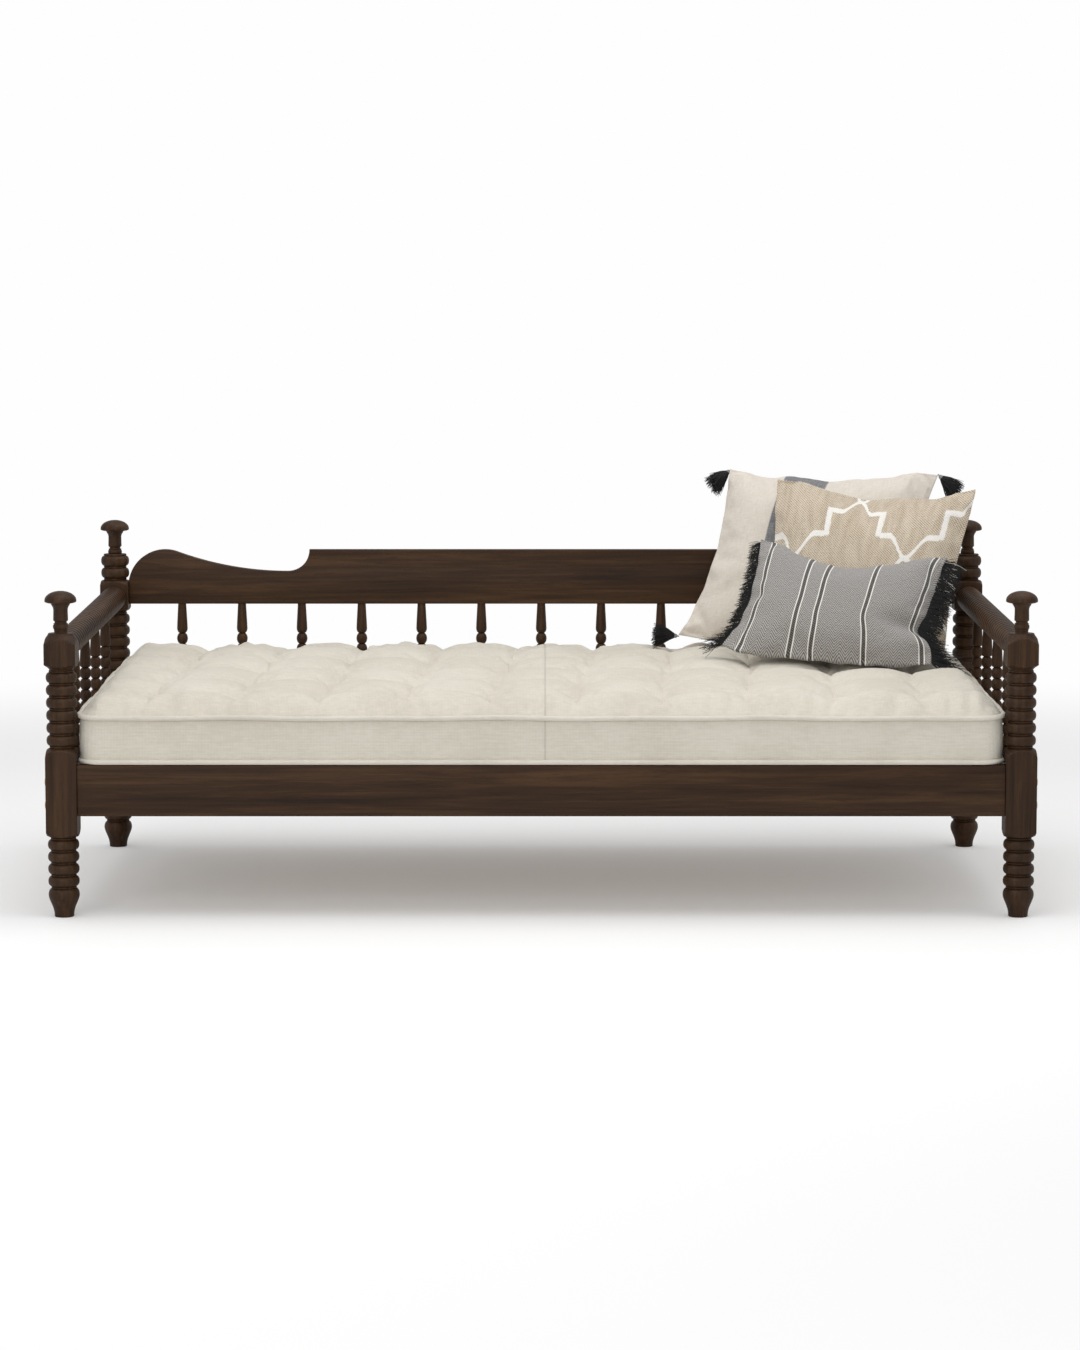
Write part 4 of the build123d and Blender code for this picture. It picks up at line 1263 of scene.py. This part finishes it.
@dataclass
class Cushion:
    """A stuffed cushion, seamed all round. Millimetres and degrees."""

    name: str
    node: str
    body: str
    slot: str
    width: float
    height: float
    thickness: float
    slump: float
    lean: float
    turn: float
    roll: float
    left: Knots                  # how far each side strays from straight, along that side
    right: Knots
    bottom: Knots
    top: Knots
    folds: Sequence[Fold] = ()
    cell: float = 8.0
    fullness: float = 0.55
    squareness: float = 2.4      # how far its fullness reaches out to the seams
    stray_fade: float = 2.5      # how soon a side's straying dies away inwards
    unevenness: float = 1.4      # the long waves on its faces
    seam_gathers: float = 1.6    # the short ones along its seams
    back_share: float = 0.6      # how much of its folds show behind
    floor_gap: float = 1.0       # over the mattress
    most_lift: float = 30.0      # how far the mattress pushes a point up
    touching: float = 1.0        # a point nearer than this to the cushion behind is moved
    reach_back: float = 50.0     # unless it is further in than this
    lean_gap: float = 1.5        # before the cushion behind

    def __post_init__(self) -> None:
        """Works its own axes out from how it leans."""
        lean, turn, roll = (math.radians(a) for a in (self.lean, self.turn, self.roll))
        level = np.array([math.cos(turn), -math.sin(turn), 0.0])
        rising = np.array([math.sin(lean) * math.sin(turn), math.sin(lean) * math.cos(turn),
                           math.cos(lean)])
        across = level * math.cos(roll) - rising * math.sin(roll)
        up = level * math.sin(roll) + rising * math.cos(roll)
        self.ways = np.array([across, up, np.cross(level, rising)])
        self.centre = np.mean(node_box(self.node), axis=0)

    def flat(self, s: Array, t: Array) -> tuple[Array, Array]:
        """Where a share of the width and height lies in the cushion's own plane."""
        a = s * self.width / 2 + t * self.slump / 2
        b = t * self.height / 2
        for sign, upright, level in ((-1, self.left, self.bottom), (1, self.right, self.top)):
            near_side, near_level = (np.clip((1 + sign * share) / 2, 0, 1) ** self.stray_fade
                                     for share in (s, t))
            a = a + smooth_line(upright, t) * near_side
            b = b + smooth_line(level, s) * near_level
        return a, b

    def point(self, a: Array, b: Array, w: Array) -> Array:
        """A place in the row frame from one in the cushion's own."""
        return self.centre + np.stack([a, b, w], axis=-1) @ self.ways

    def swell(self, s: Array, t: Array) -> Array:
        """Half its thickness, as a share, over its face."""
        across, upright = (1 - np.abs(share) ** self.squareness for share in (s, t))
        return (across * upright).clip(0) ** self.fullness

    def creases(self, s: Array, t: Array) -> Array:
        """Its own folds, and small gathers that run in from the seam, in millimetres."""
        waves = self.unevenness * np.sin(s * 5.1 + t * 3.7) * (1 - s ** 2) * (1 - t ** 2)
        for inner, wave in ((t, np.sin(s * 19 + 2 * np.sin(s * 5))),
                            (s, np.sin(t * 17 + 2 * np.sin(t * 4)))):
            near = np.exp(-(1 - np.abs(inner)) * 7)
            waves = waves + self.seam_gathers * near * wave * (1 - near ** 4)
        return waves + sum(fold.height(s, t) for fold in self.folds)

    def build(self, cloth: Material, behind: "Piece | None", mattress: Mattress) -> Piece:
        """Makes the cushion, resting on the mattress and on what is behind it.

        Args:
            cloth: its material.
            behind: the cushion it leans on.
            mattress: what it stands on.

        Returns:
            The piece.
        """
        across, deep = int(self.width / self.cell) + 1, int(self.height / self.cell) + 1
        s, t = (np.sin(share * SEAM_TURN) / math.sin(SEAM_TURN) for share in np.meshgrid(
            np.linspace(-1, 1, across), np.linspace(-1, 1, deep), indexing="ij"))
        a, b = self.flat(s, t)
        half = self.thickness / 2 * self.swell(s, t)
        folds = self.creases(s, t)
        front = np.arange(across * deep).reshape(across, deep)
        edge = np.ones(front.shape, dtype=bool)
        edge[1:-1, 1:-1] = False
        back = np.where(edge, front, front + across * deep)
        form = Form()
        form.add(np.stack([self.point(a, b, half + folds),
                           self.point(a, b, folds * self.back_share - half)]),
                 np.hstack([quads(front, flipped=True), quads(back)]).reshape(-1, 4).tolist())
        mesh = form.mesh(self.name)
        plain = np.stack([s * self.width / 2 * MM, t * self.height / 2 * MM, s], axis=-1)
        mesh.attributes.new("cloth", "FLOAT_VECTOR", "POINT").data.foreach_set(
            "vector", np.stack([plain, plain]).ravel())
        with edited(mesh) as work:
            bmesh.ops.delete(work, geom=[vertex for vertex in work.verts
                                         if not vertex.link_faces], context="VERTS")
        piece = bpy.data.objects.new(self.name, mesh)
        bpy.context.scene.collection.objects.link(piece)
        inflate(piece, pressure=5.0, cap=14.0, spare=0.035, pinned=edge)
        self.settle(piece, behind, mattress)
        mesh.materials.append(cloth)
        mesh.shade_smooth()
        smoother = piece.modifiers.new("smoother", "SUBSURF")
        smoother.levels = smoother.render_levels = 1
        hand_over(piece, self.body, self.slot, self.node)
        return piece

    def settle(self, piece: Piece, behind: "Piece | None", mattress: Mattress) -> None:
        """Flattens it where it meets the mattress and the cushion it leans on."""
        points = vertices(piece) / MM
        floor = mattress.top_height(points[:, 0], points[:, 1]) + self.floor_gap
        points[:, 2] = np.maximum(points[:, 2], np.minimum(floor, points[:, 2] + self.most_lift))
        if behind is not None:
            tree = BVHTree.FromObject(behind, bpy.context.evaluated_depsgraph_get())
            for index, place in enumerate(points):
                near, normal, _, _ = tree.find_nearest(Vector(place * MM))
                gap = Vector(place * MM) - near
                if gap.dot(normal) < self.touching * MM and gap.length < self.reach_back * MM:
                    points[index] = np.array(near + normal * self.lean_gap * MM) / MM
        move_vertices(piece, points * MM)


SQUARE = Cushion(
    "linen_cushion", "cushion_square", "square", "linen", width=469, height=415, thickness=104,
    slump=87, lean=22, turn=12, roll=0,
    left=((-1, -16), (-0.84, -4), (-0.4, 8), (0.12, 12), (0.6, 3), (1, -8)),
    right=((-1, -4), (-0.3, -14), (0.4, -12), (1, 3)),
    bottom=((-1, 22), (-0.7, 12), (-0.2, 4), (0.4, 6), (1, 0)),
    top=((-1, 8), (-0.75, -2), (-0.59, -9), (-0.41, -4), (-0.05, -15), (0.38, -9), (0.81, 2),
         (1, 1)),
    folds=(Fold((-1.0, 1.0), (-0.25, 0.1), 9, 0.16), Fold((-0.72, 1.0), (-0.3, 0.3), -8, 0.1),
           Fold((-1.0, -0.9), (-0.1, -0.5), 9, 0.14), Fold((-1.0, -0.55), (-0.3, -0.25), -7, 0.1),
           Fold((0.85, 1.0), (0.3, 0.3), 7, 0.15), Fold((-0.05, 1.0), (0.0, 0.3), -6, 0.12)))
LATTICE = Cushion(
    "jute_cushion", "cushion_lattice", "lattice", "jute", width=442, height=414, thickness=90,
    slump=41, lean=28, turn=13, roll=0,
    left=((-1, 0), (-0.3, 12), (0.33, 12), (0.67, 1), (1, -6)),
    right=((-1, 0), (-0.4, -9), (0.16, -9), (0.6, -2), (1, 5)),
    bottom=((-1, 0), (0, 8), (1, 0)),
    top=((-1, 15), (-0.73, 7), (-0.45, -11), (-0.1, -27), (0.25, -25), (0.61, -24), (0.85, -12),
         (1, -4)),
    folds=(Fold((-0.1, 1.0), (0.0, 0.35), -9, 0.2), Fold((-1.0, 1.0), (-0.4, 0.4), 8, 0.15),
           Fold((1.0, 1.0), (0.4, 0.35), 9, 0.15), Fold((0.55, 1.0), (0.35, 0.4), -6, 0.12)))
STRIPE = Cushion(
    "striped_cushion", "cushion_stripe", "stripe", "grey_cloth", width=455, height=284,
    thickness=98, slump=0, lean=40, turn=10, roll=6,
    left=((-1, -15), (-0.58, 11), (-0.14, 24), (0.55, 26), (1, 21)),
    right=((-1, -3), (-0.78, -10), (-0.58, -24), (-0.38, -47), (-0.05, -35), (0.38, -27),
           (0.8, -21), (1, -13)),
    bottom=((-1, 3), (-0.88, -8), (-0.61, -16), (-0.23, -14), (0.11, -14), (0.3, -12),
            (0.64, -6), (1, 10)),
    top=((-1, 9), (-0.91, 4), (-0.76, -2), (-0.56, -19), (-0.29, -33), (-0.06, -38), (0.15, -35),
         (0.39, -23), (0.66, -7), (0.93, 6), (1, 9)),
    folds=(Fold((1.0, -0.4), (0.35, -0.25), -16, 0.13), Fold((1.0, -0.75), (0.5, -0.6), 8, 0.12),
           Fold((-1.0, -0.5), (-0.45, -0.4), -9, 0.13), Fold((-0.06, 1.0), (0.0, 0.3), -7, 0.3),
           Fold((-1.0, 1.0), (-0.45, 0.35), 8, 0.2), Fold((1.0, 1.0), (0.5, 0.3), 8, 0.2)))


class Strands:
    """Thin tapered strands of yarn, gathered into one mesh."""

    def __init__(self, seed: int) -> None:
        self.random = np.random.default_rng(seed)
        self.form = Form()

    def strand(self, start: Array, way: Array, length: float, droop: float,
               radius: float, curl: float = 1.5, parts: int = 5, taper: float = 0.55) -> None:
        """One strand, in millimetres.

        Args:
            start: where it hangs from.
            way: the way it sets off.
            length: how long it is.
            droop: how far its end sinks.
            radius: its radius at the root.
            curl: how far it strays sideways.
            parts: how many lengths it is made of.
            taper: how much thinner its end is, as a share.
        """
        way = unit(way)
        side = unit(np.cross(way, np.array([0.31, 0.93, 0.2])))
        rise = np.cross(way, side)
        share = np.linspace(0, 1, parts + 1)
        phase = self.random.uniform(0, 6.28)
        path = (start + share[:, None] * way * length
                + (np.sin(share * 5 + phase) - math.sin(phase))[:, None] * curl * side
                + (np.cos(share * 4 + phase) - math.cos(phase))[:, None] * curl * rise)
        path[:, 2] -= droop * share ** 2
        self.form.rings(tube(path, side, rise, radius * (1 - taper * share), 4))


@dataclass
class Trim:
    """The square cushion's tassels and the striped cushion's fringe."""

    tassel_length: float = 66.0
    tassel_strands: int = 420
    tassel_spread: float = 0.5
    cap_length: float = 12.0         # how much of a tassel is its bound cap
    bundle_start: float = 9.0        # where the strands start, inside the cap
    bundle_radius: float = 5.0
    fringe_spacing: float = 0.42
    fringe_share: float = 0.97       # how much of the cushion's height is fringed
    fringe_longer: float = 0.9       # how much longer it grows at the lower corners, as a share
    white_every: int = 31            # which strands at the upper right are white

    def build_tassel(self, strands: Strands, caps: Form, corner: Array,
                     way: Sequence[float]) -> None:
        """One tassel: a bound cap, and strands that splay from it."""
        way = unit(way)
        side = unit(np.cross(way, np.array([0.2, 1.0, 0.1])))
        rise = np.cross(way, side)
        outline = Turning(1.4, -2.0).line(1.6, 2.0)
        outline.curve(5.4, 8.0, True, 1.0, rows=5).curve(4.2, 14.0, False, 1.0, rows=5)
        caps.rings(outline.rings(round_angles(14)), corner, (side, rise, way))
        for _ in range(self.tassel_strands):
            angle = strands.random.uniform(0, 2 * math.pi)
            reach = math.sqrt(strands.random.uniform(0, 1))
            out = math.cos(angle) * side + math.sin(angle) * rise
            length = strands.random.uniform(0.72, 1.0) * (self.tassel_length - self.cap_length)
            strands.strand(corner + way * self.bundle_start + out * reach * self.bundle_radius,
                           way + out * reach * self.tassel_spread, length,
                           strands.random.uniform(0, 9), radius=0.8, curl=1.4)

    def build_tassels(self) -> None:
        """The tassels on three corners of the square cushion."""
        strands, caps = Strands(11), Form()
        for s, t, way in ((-1.0, 1.0, (-0.78, -0.25, -0.57)), (1.0, 1.0, (0.75, 0.0, -0.66)),
                          (-1.0, -1.0, (-0.94, 0.0, 0.1))):
            a, b = SQUARE.flat(np.array(s), np.array(t))
            self.build_tassel(strands, caps, SQUARE.point(a, b, np.array(0.0)), way)
        strands.form.piece("tassel_strands", BLACK_YARN.material(), "square", "black_yarn",
                           "cushion_tassels", smooth=False)
        caps.piece("tassel_caps", CAP_YARN.material(), "square", "black_yarn",
                   "cushion_tassels")

    def build_fringe(self) -> None:
        """The fringe along both ends of the striped cushion."""
        strands, pale = Strands(23), Strands(29)
        outward, up, forward = STRIPE.ways
        for side, reach, thick in ((-1, 30.0, 1.0), (1, 50.0, 1.5)):
            count = int(STRIPE.height / self.fringe_spacing * thick)
            for index in range(count):
                t = self.fringe_share * (2 * index / (count - 1) - 1)
                a, b = STRIPE.flat(np.array(float(side)), np.array(t))
                start = STRIPE.point(a - side * 3, b,
                                     np.array(strands.random.uniform(-2.5, 2.5)))
                way = (side * outward + up * strands.random.uniform(-0.8, 0.15)
                       + forward * strands.random.uniform(-0.35, 0.35))
                low = float(smoothstep(-t, 0.72, 0.95))
                length = (reach * strands.random.uniform(0.7, 1.05)
                          * (1 + low * self.fringe_longer))
                white = side > 0 and t > 0.3 and index % self.white_every == 0
                pick = pale if white else strands
                pick.strand(start, way, length, strands.random.uniform(0, 12), radius=0.75)
        for yarn, name, made in ((BLACK_YARN, "black_fringe", strands),
                                 (WHITE_YARN, "white_fringe_threads", pale)):
            made.form.piece(name, yarn.material(), "stripe", "black_yarn", "cushion_fringe",
                            smooth=False)


# ---- Stage -------------------------------------------------------------------------------
@dataclass
class Stage:
    """Camera, lamps, floor and background."""

    camera_place: Point = (0.0, -8.0052, 1.2702)
    camera_pitch: float = 84.139         # degrees from straight down
    lens: float = 98.67
    shift_x: float = -0.0009
    background: float = 0.99
    sky: float = 0.62
    floor_albedo: float = 0.84
    floor_lift: float = 3.9              # glow under the floor's own shading
    floor_share: float = 0.05            # how much of it is mixed in
    fade_from: float = 2.3               # metres from the middle of the bed
    fade_to: float = 4.6

    def build_camera(self) -> None:
        """A long lens in front of the bed, a little above it."""
        data = bpy.data.cameras.new("camera")
        data.sensor_fit = "VERTICAL"
        data.sensor_height = 36.0
        data.lens = self.lens
        data.shift_x = self.shift_x
        camera = bpy.data.objects.new("camera", data)
        camera.location = self.camera_place
        camera.rotation_euler = (math.radians(self.camera_pitch), 0, 0)
        bpy.context.scene.collection.objects.link(camera)
        bpy.context.scene.camera = camera

    def build_lamp(self, name: str, place: Point, size: tuple[float, float], watts: float) -> None:
        """A soft oblong lamp aimed at the middle of the bed."""
        data = bpy.data.lights.new(name, "AREA")
        data.shape = "RECTANGLE"
        data.size, data.size_y = size
        data.energy = watts
        lamp = bpy.data.objects.new(name, data)
        lamp.location = place
        aim = Vector((0, 0, 0.35)) - Vector(place)
        lamp.rotation_euler = aim.to_track_quat("-Z", "Y").to_euler()
        bpy.context.scene.collection.objects.link(lamp)

    def build_world(self) -> None:
        """White to the camera, and a softer sky for light and reflections."""
        world = bpy.data.worlds.new("studio")
        bpy.context.scene.world = world
        world.use_nodes = True
        tree = world.node_tree
        mixer = tree.nodes.new("ShaderNodeMixShader")
        tree.links.new(tree.nodes.new("ShaderNodeLightPath").outputs["Is Camera Ray"],
                       mixer.inputs["Fac"])
        for socket, light, strength in (
                (1, tree.nodes["Background"], self.sky),
                (2, tree.nodes.new("ShaderNodeBackground"), self.background)):
            light.inputs["Color"].default_value = (1, 1, 1, 1)
            light.inputs["Strength"].default_value = strength
            tree.links.new(light.outputs[0], mixer.inputs[socket])
        tree.links.new(mixer.outputs[0], tree.nodes["World Output"].inputs["Surface"])

    def build_floor(self) -> None:
        """A white floor that keeps the bed's shadow and is lost in the background."""
        mesh = bpy.data.meshes.new("floor")
        reach = 30.0
        mesh.from_pydata([(-reach, -reach, 0), (reach, -reach, 0), (reach, reach, 0),
                          (-reach, reach, 0)], [], [(0, 1, 2, 3)])
        floor = bpy.data.objects.new("floor", mesh)
        bpy.context.scene.collection.objects.link(floor)
        shader = Shader("white_floor", Roughness=0.9, Specular_IOR_Level=0.0)
        shader.feed(shader.principled.inputs["Base Color"], (self.floor_albedo,) * 3)
        seen = shader.node("ShaderNodeLightPath", {}, output="Is Camera Ray")
        away = shader.node("ShaderNodeVectorMath", {"operation": "LENGTH"}, shader.place(),
                           output="Value")
        surface = Value(shader, shader.principled.outputs[0])
        for share, strength in ((self.floor_share, self.floor_lift),
                                (away.ramp(self.fade_from, self.fade_to), self.background)):
            glow = shader.node("ShaderNodeEmission", {}, (1.0, 1.0, 1.0), strength)
            surface = shader.node("ShaderNodeMixShader", {}, seen * share, surface, glow)
        shader.feed(shader.tree.nodes["Material Output"].inputs["Surface"], surface)
        mesh.materials.append(shader.material)

    def build(self) -> None:
        """All of it."""
        self.build_camera()
        self.build_world()
        self.build_floor()
        self.build_lamp("overhead", (0.2, -0.6, 3.4), (4.5, 3.0), 62)
        self.build_lamp("front", (-1.6, -4.6, 2.6), (3.0, 2.0), 40)


def main() -> None:
    """Builds the scene in order."""
    bpy.context.scene.view_settings.view_transform = "Standard"
    Stage().build()
    TurnedFrame().build()
    Joinery().build()
    mattress = Mattress()
    mattress.build()
    behind = None
    for cushion, cloth in ((SQUARE, BandedLinen()), (LATTICE, LatticeJute()),
                           (STRIPE, StripedWool())):
        behind = cushion.build(cloth.material(), behind, mattress)
    Trim().build_tassels()
    Trim().build_fringe()


if __name__ == "__main__":
    logging.basicConfig(level=logging.INFO, format="%(name)s %(message)s")
    main()
